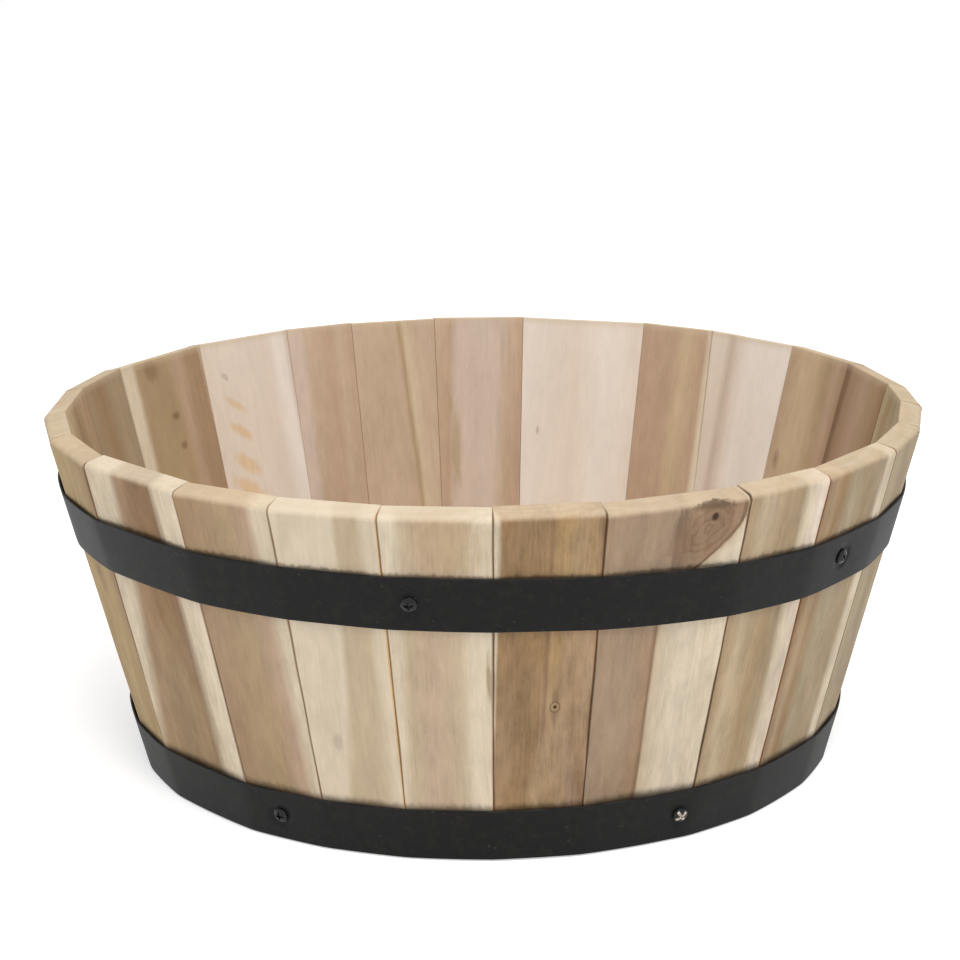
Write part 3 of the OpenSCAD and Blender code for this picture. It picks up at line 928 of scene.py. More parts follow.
# %% The chart of tones
CHART = {
    "milk": "e0d4c8", "linen": "d8c8b8", "cream": "d0c0a8", "sand": "c8b498", "rose": "c4b0a0",
    "wheat": "c0a888", "shell": "bca48c", "dust": "bca88c", "straw": "b8a888", "clay": "b49880",
    "honey": "b09470", "tan": "a89070", "olive": "a49478", "ochre": "a48c64", "gold": "a08460",
    "drab": "a08c70", "fawn": "a08468", "dun": "9c846c", "hazel": "947858", "umber": "846850",
    "ash": "b0a090", "amber": "d4b48c", "resin": "c8984c", "bark": "705840",
    "seam": "6c4424", "crack": "584434", "pit": "34281c",
}


def stops(listing, width):
    """Ramp stops from a written list such as '0 cream 30 tan': millimetres and tones in turn."""
    words = listing.split()
    places = [float(w) / width for w in words[0::2]]
    return [(min(max(p, 0.0), 1.0), tone(CHART[name])) for p, name in zip(places, words[1::2])]


print(len(CHART), "tones")

# %% [markdown]
# ## How the grain is made
# Three things make wood look like wood: rings of uneven width round a pith that lies
# outside the board, fine fibres along it, and short dark pores. Each is a noise whose
# grid is stretched along the board. The rings use the distance from the pith, so they
# run as streaks on the face and as arcs on the end.

# %% Grain
# How far the rings wander in mm, and how much each part of the grain changes the tone
RING_WANDER = 26.0
RINGS_SHOW, FIBRES_SHOW, FLECKS_SHOW, BLOTCHES_SHOW, HAIRS_SHOW = 0.10, 0.07, 0.34, 0.36, -0.12
WOOD_GAIN, WOOD_ROUGH, WOOD_SHEEN = 1.02, 0.64, 0.20
RELIEF_SHARE, RELIEF_DEPTH = 0.35, 0.22 * MM


def clouds(net, a, b, per_a, per_b, seed, detail=2.0, rough=0.5):
    """Noise over two directions, with per_a and per_b cells to a millimetre along them."""
    return net.noise(net.join(net.times(a, per_a), net.times(b, per_b), seed), 1.0, detail, rough)


def streaks(net, across, along, deep, wide, long, seed, detail=2.0, rough=0.55):
    """Noise stretched along the board: one cell is wide millimetres across and long along."""
    place = net.join(net.times(across, 1 / wide), net.times(along, 1 / long),
                     net.add(net.times(deep, 1 / wide), seed))
    return net.noise(place, 1.0, detail, rough)


def centred(net, value, amount):
    """Noise about 0: (value - 0.5) * amount."""
    return net.times(net.minus(value, 0.5), amount)


def grain(net, across, along, deep, seed, pith):
    """Rings, fibres, dark hairs and pores, flecks and blotches, each from 0 to 1. A ring is a
    distance from the pith, sqrt(px^2 + pd^2), with px across the board and pd into it."""
    wander = centred(net, clouds(net, across, along, 0.012, 0.009, seed), RING_WANDER)
    px = net.minus(net.add(across, wander), pith[0])
    pd = net.minus(deep, pith[1])
    ring = net.add(net.length(px, pd), net.times(along, 0.02))
    rings = net.step(clouds(net, ring, along, 0.22, 0.0045, seed, 4.0, 0.62), 0.30, 0.70)
    fibres = net.step(streaks(net, across, along, deep, 1.2, 38.0, seed + 3.1, 4.0, 0.68), 0.32, 0.68)
    hairs = net.step(streaks(net, across, along, deep, 1.5, 34.0, seed + 7.3, 3.0, 0.7), 0.57, 0.70)
    pores = net.step(streaks(net, across, along, deep, 0.7, 5.5, seed + 5.7, 1.0), 0.60, 0.74)
    fleck = streaks(net, across, along, deep, 5.0, 15.0, seed + 8.8, 4.0, 0.66)
    blotch = clouds(net, across, along, 0.06, 0.018, seed + 9.0, 3.0, 0.6)
    return rings, fibres, net.add(net.times(hairs, 0.6), net.times(pores, 0.4)), fleck, blotch


def finish_wood(net, colour, marks, strength=1.0, gain=WOOD_GAIN, calm=1.0):
    """Turns the grain into lighter and darker, redder and paler, then into a fine relief."""
    rings, fibres, hairs, fleck, blotch = marks
    change = centred(net, rings, RINGS_SHOW * strength)
    change = net.add(change, centred(net, fibres, FIBRES_SHOW * strength))
    change = net.add(change, centred(net, fleck, FLECKS_SHOW * strength))
    change = net.add(change, centred(net, blotch, BLOTCHES_SHOW * strength))
    change = net.add(change, net.times(hairs, HAIRS_SHOW * strength))
    value = net.add(gain, net.times(change, calm))
    richness = net.add(1.0, centred(net, rings, -0.08 * strength))
    toned = net.node("ShaderNodeHueSaturation", {"Hue": 0.5, "Saturation": richness, "Value": value,
                                                 "Color": colour})
    relief = net.add(net.times(fibres, 0.5), net.times(hairs, -0.8))
    bump = net.node("ShaderNodeBump", {"Strength": RELIEF_SHARE, "Distance": RELIEF_DEPTH, "Height": relief})
    net.feed(net.shader.inputs["Base Color"], toned.outputs[0])
    net.feed(net.shader.inputs["Roughness"], net.add(WOOD_ROUGH, net.times(fibres, 0.12)))
    net.feed(net.shader.inputs["Normal"], bump.outputs[0])
    net.shader.inputs["Specular IOR Level"].default_value = WOOD_SHEEN


print("relief at most", RELIEF_DEPTH / MM, "mm deep")

# %% [markdown]
# ## Streaks that wander
# A board's broad streaks are a ramp across it. Looked up straight, the borders would be
# ruled lines, so the place that is looked up moves: it leans towards the foot, flares
# near the rim, is pushed aside by a knot, and wanders a little everywhere. It also shifts
# with the depth in the board, so that a streak runs on over the end.

# %% A stave's finish and its streaks
BOARD_L = 207.0
DRIFT, SLANT_IN = 2.0, 0.25


class BoardFinish(Finish):
    """A stave's finish, which knows its board: x across, y up the face, d into it, in mm."""

    def __init__(self, i, look):
        super().__init__(f"stave_wood_{i + 1:02d}")
        self.i, self.look, self.inside = i, look, look.get("inside", False)
        half = math.radians(JOINTS[i + 1] - JOINTS[i]) / 2
        self.width, self.seed = 2 * RIM_R * math.sin(half), 11.3 * (i + 1)
        self.x, self.y, self.d = self.split(self.attribute("board", "Vector"))
        self.across = self.add(self.times(self.x, -1.0 if self.inside else 1.0), self.width / 2)
        # 0 at the rim and 1 at the foot
        self.low = self.math("MULTIPLY_ADD", self.y, -1 / BOARD_L, 1.0)

    def stained(self, colour, where, share, name):
        """A colour with a tone of the chart laid over it, by a share of where it lies."""
        return self.mix(self.times(where, share), colour, tone(CHART[name]))

    def ragged(self, wide, long, seed, amount, detail=2.0, rough=0.55):
        """Streaky noise about 0, to fray a border."""
        noise = streaks(self, self.across, self.y, self.d, wide, long, self.seed + seed, detail, rough)
        return centred(self, noise, amount)


def knot_field(net, centre, size, seed, tilt=0.0, uneven=0.5):
    """Distance from a knot's middle, 1 on its outline. The ellipse is tilted, and noise shifts it."""
    ax, ay = net.minus(net.across, centre[0]), net.minus(net.y, centre[1])
    c, k = math.cos(tilt), math.sin(tilt)
    dx = net.add(net.times(ax, c / size[0]), net.times(ay, k / size[0]))
    dy = net.add(net.times(ax, -k / size[1]), net.times(ay, c / size[1]))
    rough = clouds(net, net.across, net.y, 0.11, 0.11, seed, 3.0, 0.6)
    return net.add(net.length(dx, dy), centred(net, rough, uneven)), dx


def streak_place(net):
    """The place across the board, in mm, at which its list of streaks is looked up."""
    look, place = net.look, net.across
    for knot in look.get("knots", []):
        if knot.get("push"):
            wide, high = knot["size"]
            far, dx = knot_field(net, knot["at"], (wide * 1.6, high * 2.2), net.seed)
            fall = net.math("EXPONENT", net.times(net.times(far, far), -1.0))
            place = net.add(place, net.times(net.times(dx, fall), -knot["push"]))
    if "lean" in look:
        left, right = look["lean"]
        weight = net.math("MULTIPLY_ADD", net.across, (right - left) / net.width, left)
        place = net.add(place, net.times(weight, net.math("POWER", net.low, look.get("bow", 1.0))))
    if "flare" in look:
        amount, start, end = look["flare"]
        place = net.add(place, net.step(net.y, start, end, 0.0, -amount))
    drift = clouds(net, net.across, net.y, 0.02, 0.011, net.seed + 1.0)
    place = net.add(place, centred(net, drift, DRIFT))
    place = net.add(place, net.ragged(2.6, 80.0, 2.0, DRIFT))
    shown = STAVE_T if net.inside else 0.0
    return net.add(place, net.math("MULTIPLY_ADD", net.d, SLANT_IN, -shown * SLANT_IN))


def with_brink(net, colour, place):
    """A thin dark line along a border: where, how wide, and the height from which it shows."""
    at, wide, start = net.look["brink"]
    off = net.math("ABSOLUTE", net.minus(place, at))
    line = net.times(net.step(off, wide, wide * 0.3), net.step(net.y, start, start + 25.0))
    return net.stained(colour, line, 0.75, "bark")


print("streaks shift by", SLANT_IN * STAVE_T, "mm through the board")

# %% [markdown]
# ## Marks and knots
# A knot is a branch cut across: an uneven oval with a dark outline, rings and a core. A
# mark is softer, a stain or a dark patch with frayed borders. Both could be painted on a
# picture, but as fields of distance they stay sharp and follow the board over its edges.

# %% Marks and knots
# Distances from a knot's middle, with its outline at 1, between which each part fades
KNOT_INSIDE, KNOT_CORE = (1.15, 0.55), (0.42, 0.16)


def with_mark(net, colour, mark):
    """A frayed oval of one tone, sheared by its slope."""
    (mx, my), (wide, high) = mark["at"], mark["size"]
    ax = net.minus(net.across, mx)
    ay = net.minus(net.minus(net.y, my), net.times(ax, mark.get("slope", 0.0)))
    far = net.length(net.times(ax, 1 / wide), net.times(ay, 1 / high))
    far = net.add(far, net.ragged(2.0, 12.0, my, 0.9))
    return net.stained(colour, net.step(far, 1.1, 0.35), mark.get("deep", 0.5), mark["tone"])


def with_knot(net, colour, knot):
    """A knot: stained and ringed inside, then its outline and its dark core."""
    far, _ = knot_field(net, knot["at"], knot["size"], net.seed + knot["at"][1],
                        knot.get("tilt", 0.0), knot.get("uneven", 0.5))
    swirl = net.step(net.math("SINE", net.times(far, knot.get("rings", 9.0))), 0.1, 0.95)
    share = net.math("MULTIPLY_ADD", swirl, knot.get("swirl", 0.16), knot.get("deep", 0.6))
    colour = net.stained(colour, net.step(far, *KNOT_INSIDE), share, knot.get("stain", "umber"))
    outline = net.times(net.step(far, 0.78, 0.98), net.step(far, 1.22, 1.0))
    colour = net.stained(colour, outline, knot.get("line", 0.35), "bark")
    return net.stained(colour, net.step(far, *KNOT_CORE), knot.get("core", 0.5), "pit")


print("a knot's dark core ends at", KNOT_CORE[0], "of the way to its outline")

# %% [markdown]
# ## Ends, painted shade above the bands, and joints
# End grain is duller and speckled. Just above a band a soft dark line is painted: painted
# shade where the band stands off the wood, with some grime. And a joint is never one black
# line: some are shut tight, some stand open by a hair, and in a few the glue has dried amber.

# %% Ends, painted shade above the bands, and joints
END_DULL, END_SPECKLE, END_CALM = 0.66, 0.12, -0.55
# Each joint has a tone for the stave before it and one for the stave after it
JOINT_TONES = {"shut": ("umber", "seam"), "open": ("seam", "pit"), "glued": ("resin", "seam")}
JOINT_KINDS = {1: "open", 2: "open", 3: "glued", 24: "glued"}
# For each band: how far up the painted shade and grime reach in mm, and how deep their tone is
BAND_SHADE_AND_GRIME = ((hung_line, 2.4, 0.55), (lower_line, 5.0, 0.62))


def with_ends(net, colour, end):
    """The tone of the end grain, with its speckles."""
    speckle = clouds(net, net.x, net.d, 0.9, 0.9, net.seed, 3.0, 0.7)
    end_tone = net.mix(END_DULL, colour, tone(CHART[net.look.get("end", "sand")]))
    end_tone = net.stained(end_tone, net.step(speckle, 0.50, 0.68), END_SPECKLE, "drab")
    return net.mix(end, colour, end_tone)


def with_rim_crack(net, colour):
    """A dark crack over the rim: its middle and its reach across, frayed, and fading inwards."""
    middle, reach = net.look["over_rim"]
    off = net.math("ABSOLUTE", net.times(net.minus(net.across, middle), 1 / reach))
    off = net.add(net.add(off, net.ragged(4.5, 5.0, 6.2, 1.8, 4.0, 0.7)), net.times(net.d, 0.22))
    crack = net.times(net.step(off, 1.0, 0.6), net.step(net.y, 201.0, 205.0))
    return net.stained(colour, crack, 0.85, "crack")


def band_edge(i, line):
    """Height of a band's top edge up the face of stave i, at its middle, and its slope across."""
    _, half, lean, _, _ = stave_frame(i)
    ends = [(float(line(a)) + BAND_RISE / 2) / math.cos(lean) for a in (JOINTS[i], JOINTS[i + 1])]
    return sum(ends) / 2, (ends[1] - ends[0]) / (2 * RIM_R * math.sin(half))


def with_band_shade_and_grime(net, colour, line, high, deep):
    """Painted shade, with some grime, on the outer face just above a band: a soft dark line."""
    edge, slope = band_edge(net.i, line)
    over = net.minus(net.minus(net.y, edge), net.times(net.x, slope))
    over = net.add(over, net.ragged(3.0, 6.0, 4.4, 5.0, 3.0))
    # The pit tone laid here is painted shade under the band's top edge, with some grime
    shade_and_grime_line = net.times(net.step(over, high, 0.0), net.step(over, -14.0, -8.0))
    return net.stained(colour, net.times(shade_and_grime_line, deep), net.step(net.d, 3.0, 0.5), "pit")


def with_joints(net, colour):
    """The rubbed edges and the planed sides, each in its own joint's tone."""
    first, last = (JOINT_KINDS.get(j % 25, "shut") for j in (net.i, net.i + 1))
    sides = net.mix(net.step(net.x, -1.0, 1.0), tone(CHART[JOINT_TONES[first][1]]),
                    tone(CHART[JOINT_TONES[last][0]]))
    return net.mix(net.times(net.attribute("rubbed", "Fac"), 0.85), colour, sides)


def stave_wood(i, look):
    """One stave's finish from its own list of streaks, leans, flare, brink, knots and marks."""
    net = BoardFinish(i, look)
    place = streak_place(net)
    colour = net.ramp(net.times(place, 1 / net.width), stops(look["streaks"], net.width))
    if "brink" in look:
        colour = with_brink(net, colour, place)
    for mark in look.get("marks", []):
        colour = with_mark(net, colour, mark)
    for knot in look.get("knots", []):
        colour = with_knot(net, colour, knot)
    end = net.attribute("endness", "Fac")
    colour = with_ends(net, colour, end)
    if "over_rim" in look:
        colour = with_rim_crack(net, colour)
    # Painted shade, with some grime, as a dark line just above each band on the outer face
    if not net.inside:
        for line, high, deep in BAND_SHADE_AND_GRIME:
            colour = with_band_shade_and_grime(net, colour, line, high, deep)
    colour = with_joints(net, colour)
    gain = net.math("MULTIPLY_ADD", net.low, look.get("rise", 0.0), WOOD_GAIN)
    calm = net.math("MULTIPLY_ADD", end, END_CALM, 1.0)
    marks = grain(net, net.across, net.y, net.d, net.seed, (net.width * 0.4, 70.0))
    finish_wood(net, colour, marks, look.get("strength", 0.8 if net.inside else 1.6), gain, calm)
    return net.material


print("joints:", len(JOINTS) - 1, "of which", len(JOINT_KINDS), "aren't shut")

# %% [markdown]
# ## Each stave's own board
# The list follows the tub round from the front. A stave that shows its outer face is
# described from its left edge as seen from outside; one that shows its inner face is
# described from its left edge as seen from inside. All lengths are in millimetres.
#
# - Streaks say where each tone lies. A lean moves them sideways on the way down to the
#   foot, by one amount at the left edge and another at the right; a bow bends that. A
#   flare moves them near the rim, and a brink is a dark line along one border.
# - Marks and knots have a place (across, then up from the foot), half sizes, and a depth
#   of tone. over_rim is a crack over the rim, by its middle and its reach.
# - A rise lightens the board towards its foot, or darkens it where it is negative.
#   Strength is how strongly the grain shows, and end is the tone of the end grain.

# %% The boards
LOOKS = {
    1: dict(strength=2.3, streaks="0 cream 3 cream 5 hazel 28 hazel 30 umber 32 gold 52 gold 56 umber",
            knots=[dict(at=(35, 95), size=(2.4, 3.0), deep=0.7, stain="ochre", line=0.9, core=1.0, push=2)],
            marks=[dict(at=(50, 58), size=(21, 110), tone="fawn", deep=0.9),
                   dict(at=(12, 55), size=(9, 60), tone="hazel", deep=0.6),
                   dict(at=(28, 48), size=(6, 34), tone="tan", deep=0.7, slope=1.5),
                   dict(at=(50, 36), size=(9, 30), tone="umber", deep=0.7),
                   dict(at=(35, 96), size=(2.0, 18), tone="umber", deep=0.6)]),
    2: dict(strength=1.4, streaks="0 dun 26 dun 34 fawn 36 umber 38 sand 46 cream 80 cream",
            flare=(42, 145, 200), brink=(36, 1.6, 152), over_rim=(60, 14), rise=-0.05,
            knots=[dict(at=(58, 191), size=(26, 16), tilt=0.7, uneven=0.7, deep=0.60, swirl=0.36, rings=24.0,
                        stain="umber", line=0.0, core=0.0),
                   dict(at=(61, 198), size=(2.0, 2.6), deep=0.9, stain="pit", line=0.4, core=1.0)],
            marks=[dict(at=(43, 188), size=(5, 30), tone="crack", deep=0.6, slope=0.6),
                   dict(at=(33, 150), size=(3, 26), tone="ash", deep=0.4)]),
    3: dict(strength=1.5, streaks="0 drab 5 tan 14 dust 30 tan 40 drab 45 cream 58 linen"),
    4: dict(streaks="0 umber 3 hazel 10 tan 18 hazel 30 olive 44 drab 60 drab 65 cream 72 cream",
            lean=(-8, 9)),
    5: dict(streaks="0 straw 4 olive 40 drab 55 olive"),
    6: dict(streaks="0 straw 14 olive 26 tan 36 olive 53 straw"),
    7: dict(streaks="0 wheat 6 straw 16 olive 30 tan 48 straw"),
    8: dict(inside=True, streaks="0 umber 9 umber 14 fawn 34 clay 48 tan 56 fawn 67 hazel"),
    9: dict(inside=True, streaks="0 clay 20 wheat 34 wheat 46 tan 54 clay 63 fawn",
            knots=[dict(at=(13, 135), size=(3, 6), deep=0.4, line=0.15, core=0.2)]),
    10: dict(inside=True, streaks="0 linen 10 linen 15 rose 22 linen 30 milk 64 milk", strength=0.45),
    11: dict(inside=True, streaks="0 clay 26 clay 34 wheat 48 clay 52 cream 59 cream"),
    12: dict(inside=True, streaks="0 milk 40 linen 60 milk 88 linen", strength=0.45, rise=0.05,
             knots=[dict(at=(17, 132), size=(1.2, 3.2), deep=0.3, line=0.1, core=0.1)]),
    13: dict(inside=True, streaks="0 shell 12 clay 18 rose 46 rose 54 shell 63 clay", lean=(0, 22),
             marks=[dict(at=(16, 118), size=(4, 35), tone="tan", deep=0.7),
                    dict(at=(12, 150), size=(2, 9), tone="tan", deep=0.7)]),
    14: dict(inside=True, streaks="0 shell 30 shell 33 tan 36 sand 44 shell 60 shell", lean=(-22, -12)),
    15: dict(inside=True, streaks="0 rose 10 rose 14 shell 30 clay 36 shell 49 clay"),
    16: dict(inside=True, streaks="0 linen 54 linen 62 milk 68 milk 72 rose 75 rose", strength=0.45,
             marks=[dict(at=(18, 184), size=(3.4, 2.8), tone="ash", deep=0.6, slope=-0.6),
                    dict(at=(23, 165), size=(9, 4), tone="amber", deep=0.7, slope=-0.7),
                    dict(at=(24, 147), size=(10, 5), tone="amber", deep=0.8, slope=-0.7),
                    dict(at=(24, 126), size=(11, 7), tone="amber", deep=0.8, slope=-0.6),
                    dict(at=(23, 110), size=(13, 8), tone="amber", deep=0.8, slope=-0.5)]),
    17: dict(inside=True, streaks="0 cream 14 cream 19 tan 50 tan 60 clay 68 fawn 80 fawn 86 sand",
             marks=[dict(at=(32, 200), size=(9, 9), tone="umber", deep=0.6),
                    dict(at=(46, 168), size=(5.5, 3.6), tone="umber", deep=0.8),
                    dict(at=(47, 149), size=(3.6, 3.4), tone="umber", deep=0.8)]),
    18: dict(inside=True, streaks="0 drab 22 hazel 38 drab 56 drab"),
    19: dict(streaks="0 hazel 12 fawn 26 tan 40 hazel 52 tan 64 straw"),
    20: dict(streaks="0 straw 5 tan 14 drab 30 tan 44 straw 52 tan 59 straw"),
    21: dict(streaks="0 ochre 40 ochre 58 hazel", rise=0.08,
             knots=[dict(at=(25, 135), size=(7, 12), deep=0.4, line=0.15, core=0.3)]),
    22: dict(streaks="0 sand 4 cream 26 cream 33 fawn 46 hazel 56 hazel 62 umber 67 cream 87 cream",
             end="cream", lean=(30, -8), rise=0.05,
             marks=[dict(at=(47, 192), size=(15, 26), tone="umber", deep=0.5),
                    dict(at=(40, 55), size=(34, 80), tone="drab", deep=0.5)]),
    23: dict(strength=1.2, streaks="0 fawn 30 tan 42 clay 49 cream 60 cream", lean=(0, -8)),
    24: dict(strength=0.9, end="cream", streaks="0 cream 31 cream 34 dust 44 dust 49 cream 57 cream",
             lean=(26, -6), bow=1.5, rise=0.05,
             marks=[dict(at=(20, 70), size=(4, 6), tone="ash", deep=0.5)]),
    25: dict(strength=1.2, end="cream", streaks="0 cream 6 cream 12 dust 24 shell 37 dust 44 cream 57 cream",
             marks=[dict(at=(34, 194), size=(24, 36), tone="honey", deep=0.6),
                    dict(at=(52, 115), size=(1.6, 16), tone="hazel", deep=0.7)]),
}
for i, piece in enumerate(stave_boards):
    piece.data.materials.append(stave_wood(i, LOOKS[i + 1]))
print("finished", len(LOOKS), "staves")

# %% [markdown]
# ## Floor and batten wood
# The floor boards and battens are the same acacia, plainer and a little dustier. Their
# grain runs along X or Y, so the same helpers read the object's own coordinates, turned
# for each, with no attribute needed.

# %% Floor and batten finishes
PLAIN_STRENGTH, PLAIN_DRIFT, PLAIN_HAIR = 1.1, 14.0, 5.0


def plain_wood(name, along_axis, listing, width, offset, seed):
    """Board wood on Object coordinates. along_axis is 0 for grain along X and 1 along Y."""
    net = Finish(name)
    place = net.node("ShaderNodeTexCoord").outputs["Object"]
    in_mm = net.node("ShaderNodeVectorMath", {0: place, "Scale": 1 / MM}, operation="SCALE")
    xyz = net.split(in_mm.outputs[0])
    along, side, deep = xyz[along_axis], xyz[1 - along_axis], xyz[2]
    across = net.minus(side, offset - width / 2)
    drift = centred(net, clouds(net, across, along, 0.02, 0.008, seed), PLAIN_DRIFT)
    hair = centred(net, streaks(net, across, along, deep, 2.6, 90.0, seed + 1.0), PLAIN_HAIR)
    place = net.add(across, net.add(drift, hair))
    colour = net.ramp(net.times(place, 1 / width), stops(listing, width))
    marks = grain(net, across, along, deep, seed, (width * 0.6, -60.0))
    finish_wood(net, colour, marks, PLAIN_STRENGTH)
    return net.material


FLOOR_LISTS = ["0 tan 30 olive 60 straw 79 tan", "0 wheat 20 tan 34 hazel 50 tan 79 honey",
               "0 olive 18 straw 40 tan 62 drab 79 olive", "0 cream 12 wheat 30 honey 56 tan 79 wheat",
               "0 honey 26 tan 50 olive 79 straw"]
BATTEN_LIST = "0 hazel 12 tan 22 drab 30 hazel"
for k, piece in enumerate(floor_pieces):
    offset, seed = (k - 2) * BOARD_PITCH, 40.0 + 7 * k
    piece.data.materials.clear()
    piece.data.materials.append(plain_wood(f"floor_wood_{k + 1}", 0, FLOOR_LISTS[k], BOARD_W, offset, seed))
for k, piece in enumerate(batten_pieces):
    offset, seed = (-BATTEN_X, BATTEN_X)[k], 90.0 + 7 * k
    piece.data.materials.clear()
    piece.data.materials.append(plain_wood(f"batten_wood_{k + 1}", 1, BATTEN_LIST, BATTEN_W, offset, seed))
print("floor and battens finished")

# %% [markdown]
# ## Black steel
# The bands are painted satin black. Paint on strap steel is never one grey: it carries a
# fine orange-peel texture, dusty specks and rubbed, browner edges. The screws and rivets
# are blacked steel, a touch glossier.

# %% Black finishes
CLOUDY, SPECK, DUST, RUBBED, BARE_STEEL = "1a1a19", "5c5852", "5b564f", "3f3a35", "d2c3b8"


def black_paint(name, base, gloss, edges):
    """Satin paint: near-black with specks and soft cloudy dust. A strap has worn edges, and a
    screw shows bare steel where its black is gone."""
    net = Finish(name)
    place = net.node("ShaderNodeTexCoord").outputs["Object"]
    cloud = net.noise(place, 14.0, 4.0, 0.6)
    specks = net.step(net.noise(place, 420.0, 1.0, 0.5), 0.70, 0.80)
    dust = net.step(net.noise(place, 160.0, 2.0, 0.6), 0.45, 0.75)
    colour = net.mix(net.times(cloud, 0.45), tone(base), tone(CLOUDY))
    colour = net.mix(net.times(specks, 0.22), colour, tone(SPECK))
    colour = net.mix(net.times(dust, 0.05), colour, tone(DUST))
    if edges:
        along, up, _ = net.split(net.attribute("strap", "Vector"))
        rim = net.step(net.math("ABSOLUTE", up), 14.6, 15.45)
        rubbed = net.step(clouds(net, along, up, 0.06, 0.5, 2.0, 3.0), 0.42, 0.62)
        colour = net.mix(net.times(net.times(rim, rubbed), 0.35), colour, tone(RUBBED))
    else:
        bare = net.attribute("bare", "Fac")
        colour = net.mix(net.step(bare, 0.10, 0.55), colour, tone(BARE_STEEL))
    peel = net.noise(place, 900.0, 2.0, 0.5)
    bump = net.node("ShaderNodeBump", {"Strength": 0.25, "Distance": 0.0001, "Height": peel})
    net.feed(net.shader.inputs["Base Color"], colour)
    net.feed(net.shader.inputs["Roughness"], net.add(gloss, net.times(cloud, 0.14)))
    net.feed(net.shader.inputs["Normal"], bump.outputs[0])
    net.shader.inputs["Specular IOR Level"].default_value = 0.15 if edges else 0.24
    return net.material


strap_paint = black_paint("strap_satin_black", "0b0b0b", 0.46, True)
screw_black = black_paint("screw_satin_black", "161515", 0.20, False)
for piece in band_pieces:
    piece.data.materials.append(strap_paint)
for piece in rivet_pieces:
    piece.data.materials.append(screw_black)
for piece in screw_pieces:
    piece.data.materials.append(screw_black)
print("black steel finished")

# %% [markdown]
# ## Zinc
# The screws under the floor are never seen from the front. On the real tub they would be
# plain plated wood screws, so they are a pale metal with a faint yellowing.

# %% Zinc
def zinc(name):
    """Plated zinc: pale grey metal with a faint cloudy yellowing."""
    net = Finish(name)
    place = net.node("ShaderNodeTexCoord").outputs["Object"]
    cloud = net.noise(place, 300.0, 3.0, 0.6)
    net.feed(net.shader.inputs["Base Color"], net.mix(cloud, tone("a8a49a"), tone("c9c2ae")))
    net.feed(net.shader.inputs["Roughness"], net.add(0.32, net.times(cloud, 0.2)))
    net.shader.inputs["Metallic"].default_value = 1.0
    return net.material


zinc_heads.data.materials.append(zinc("zinc_plate"))
print("zinc finished")

# %% [markdown]
# ## The staves' kinds
# The record knows four kinds of stave wood. The kind that each stave's node has there is
# listed, in order round the tub.

# %% Kinds of the staves
KINDS = ("honey brown olive brown olive brown honey honey brown pale brown pale brown honey brown "
         "pale honey brown honey olive honey pale brown pale honey").split()
print("slots:", sorted(set(KINDS)))

# %% [markdown]
# ## The studio
# The tub stands on a white sweep under soft light. The lamps light the object at a plain
# level, where a colour renders about as it is written; the white behind it comes from the
# sweep and from what camera and glossy rays see of the world.

# %% Floor and world
GROUND, GROUND_LEVEL = 6000.0, -0.02
SWEEP_GLOW, WORLD_LEVEL = 0.45, 0.60


def seen_directly(tree):
    """1 for what the camera sees itself, in a reflection or through a pane, and 0 otherwise."""
    path = tree.nodes.new("ShaderNodeLightPath")
    seen = path.outputs["Is Camera Ray"]
    for kind in ("Is Glossy Ray", "Is Transmission Ray"):
        either = tree.nodes.new("ShaderNodeMath")
        either.operation = "MAXIMUM"
        tree.links.new(seen, either.inputs[0])
        tree.links.new(path.outputs[kind], either.inputs[1])
        seen = either.outputs[0]
    return seen


side = np.linspace(-GROUND, GROUND, 3)
gx, gy = np.meshgrid(side, side, indexing="ij")
ground = np.stack([gx, gy, np.full(gx.shape, GROUND_LEVEL)], axis=-1).reshape(-1, 3) * MM
sweep_mesh = bpy.data.meshes.new("studio_floor")
sweep_mesh.from_pydata(ground.tolist(), [], [f[::-1] for f in grid_faces(3, 3)])
sweep = bpy.data.objects.new("studio_floor", sweep_mesh)
bpy.context.scene.collection.objects.link(sweep)

white = Finish("studio_white")
grey = white.noise(white.node("ShaderNodeTexCoord").outputs["Object"], 3.0, 2.0)
white.feed(white.shader.inputs["Base Color"], white.mix(grey, (0.86, 0.86, 0.86, 1), (0.88, 0.88, 0.88, 1)))
white.shader.inputs["Roughness"].default_value = 0.9
white.shader.inputs["Specular IOR Level"].default_value = 0.0
white.feed(white.shader.inputs["Emission Color"], (1, 1, 1, 1))
white.feed(white.shader.inputs["Emission Strength"], white.times(seen_directly(white.tree), SWEEP_GLOW))
sweep_mesh.materials.append(white.material)

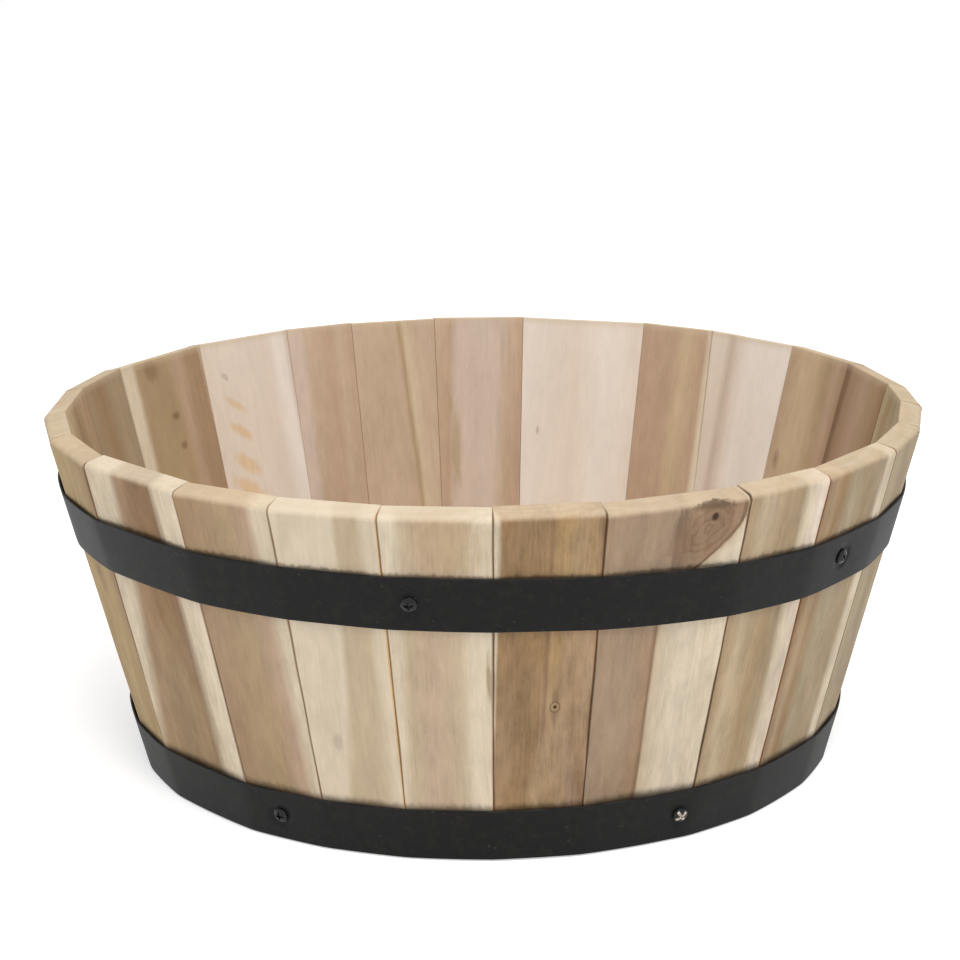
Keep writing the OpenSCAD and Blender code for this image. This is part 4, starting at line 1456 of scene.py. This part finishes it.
world = bpy.data.worlds.new("studio_world")
bpy.context.scene.world = world
world.use_nodes = True
nodes, links = world.node_tree.nodes, world.node_tree.links
background = nodes["Background"]
background.inputs["Color"].default_value = (1, 1, 1, 1)
level = nodes.new("ShaderNodeMapRange")
links.new(seen_directly(world.node_tree), level.inputs["Value"])
level.inputs["To Min"].default_value = WORLD_LEVEL
level.inputs["To Max"].default_value = 1.0
links.new(level.outputs[0], background.inputs["Strength"])
print("world level", WORLD_LEVEL)

# %% Lamps
# Each lamp's place and size in metres and its power in watts; both face the same point
LAMPS = {"key_box": ((0.5, -1.5, 2.7), 1.8, 66), "fill_box": ((-2.0, -0.6, 1.8), 1.6, 8)}
LIT_POINT = (0, 0, 0.1)


def softbox(name, place, size, power):
    """A square area lamp at a place, facing the lit point."""
    light = bpy.data.lights.new(name, "AREA")
    light.shape, light.size, light.energy = "SQUARE", size, power
    lamp = bpy.data.objects.new(name, light)
    lamp.location = place
    lamp.rotation_euler = (Vector(LIT_POINT) - Vector(place)).to_track_quat("-Z", "Y").to_euler()
    bpy.context.scene.collection.objects.link(lamp)


for name, (place, size, power) in LAMPS.items():
    softbox(name, place, size, power)

# %% [markdown]
# ## The camera
# The picture was taken from the front, about 1.5 m away and half a metre up, looking down
# by a little under 15 degrees, with a lens that takes in about 21 degrees.

# %% Camera
CAMERA_AT = (0, -1.47561, 0.54106)
FORWARDS, UPWARDS = (-0.0013542, 0.96728, -0.25370), (0.00874, 0.25370, 0.96724)
LENS, SENSOR = 97.54, 36.0

forwards = Vector(FORWARDS)
right = forwards.cross(Vector(UPWARDS)).normalized()
up = right.cross(forwards).normalized()
view = bpy.data.cameras.new("camera")
view.lens, view.sensor_width = LENS, SENSOR
camera = bpy.data.objects.new("camera", view)
turn = Matrix((right, up, -forwards.normalized())).transposed()
camera.matrix_world = Matrix.Translation(CAMERA_AT) @ turn.to_4x4()
bpy.context.scene.collection.objects.link(camera)
bpy.context.scene.camera = camera
bpy.context.scene.view_settings.view_transform = "Standard"
print("camera looks", tuple(round(v, 3) for v in forwards))

# %% [markdown]
# ## The last update
# The view layer is brought up to date once more.

# %% The last update
bpy.context.view_layer.update()
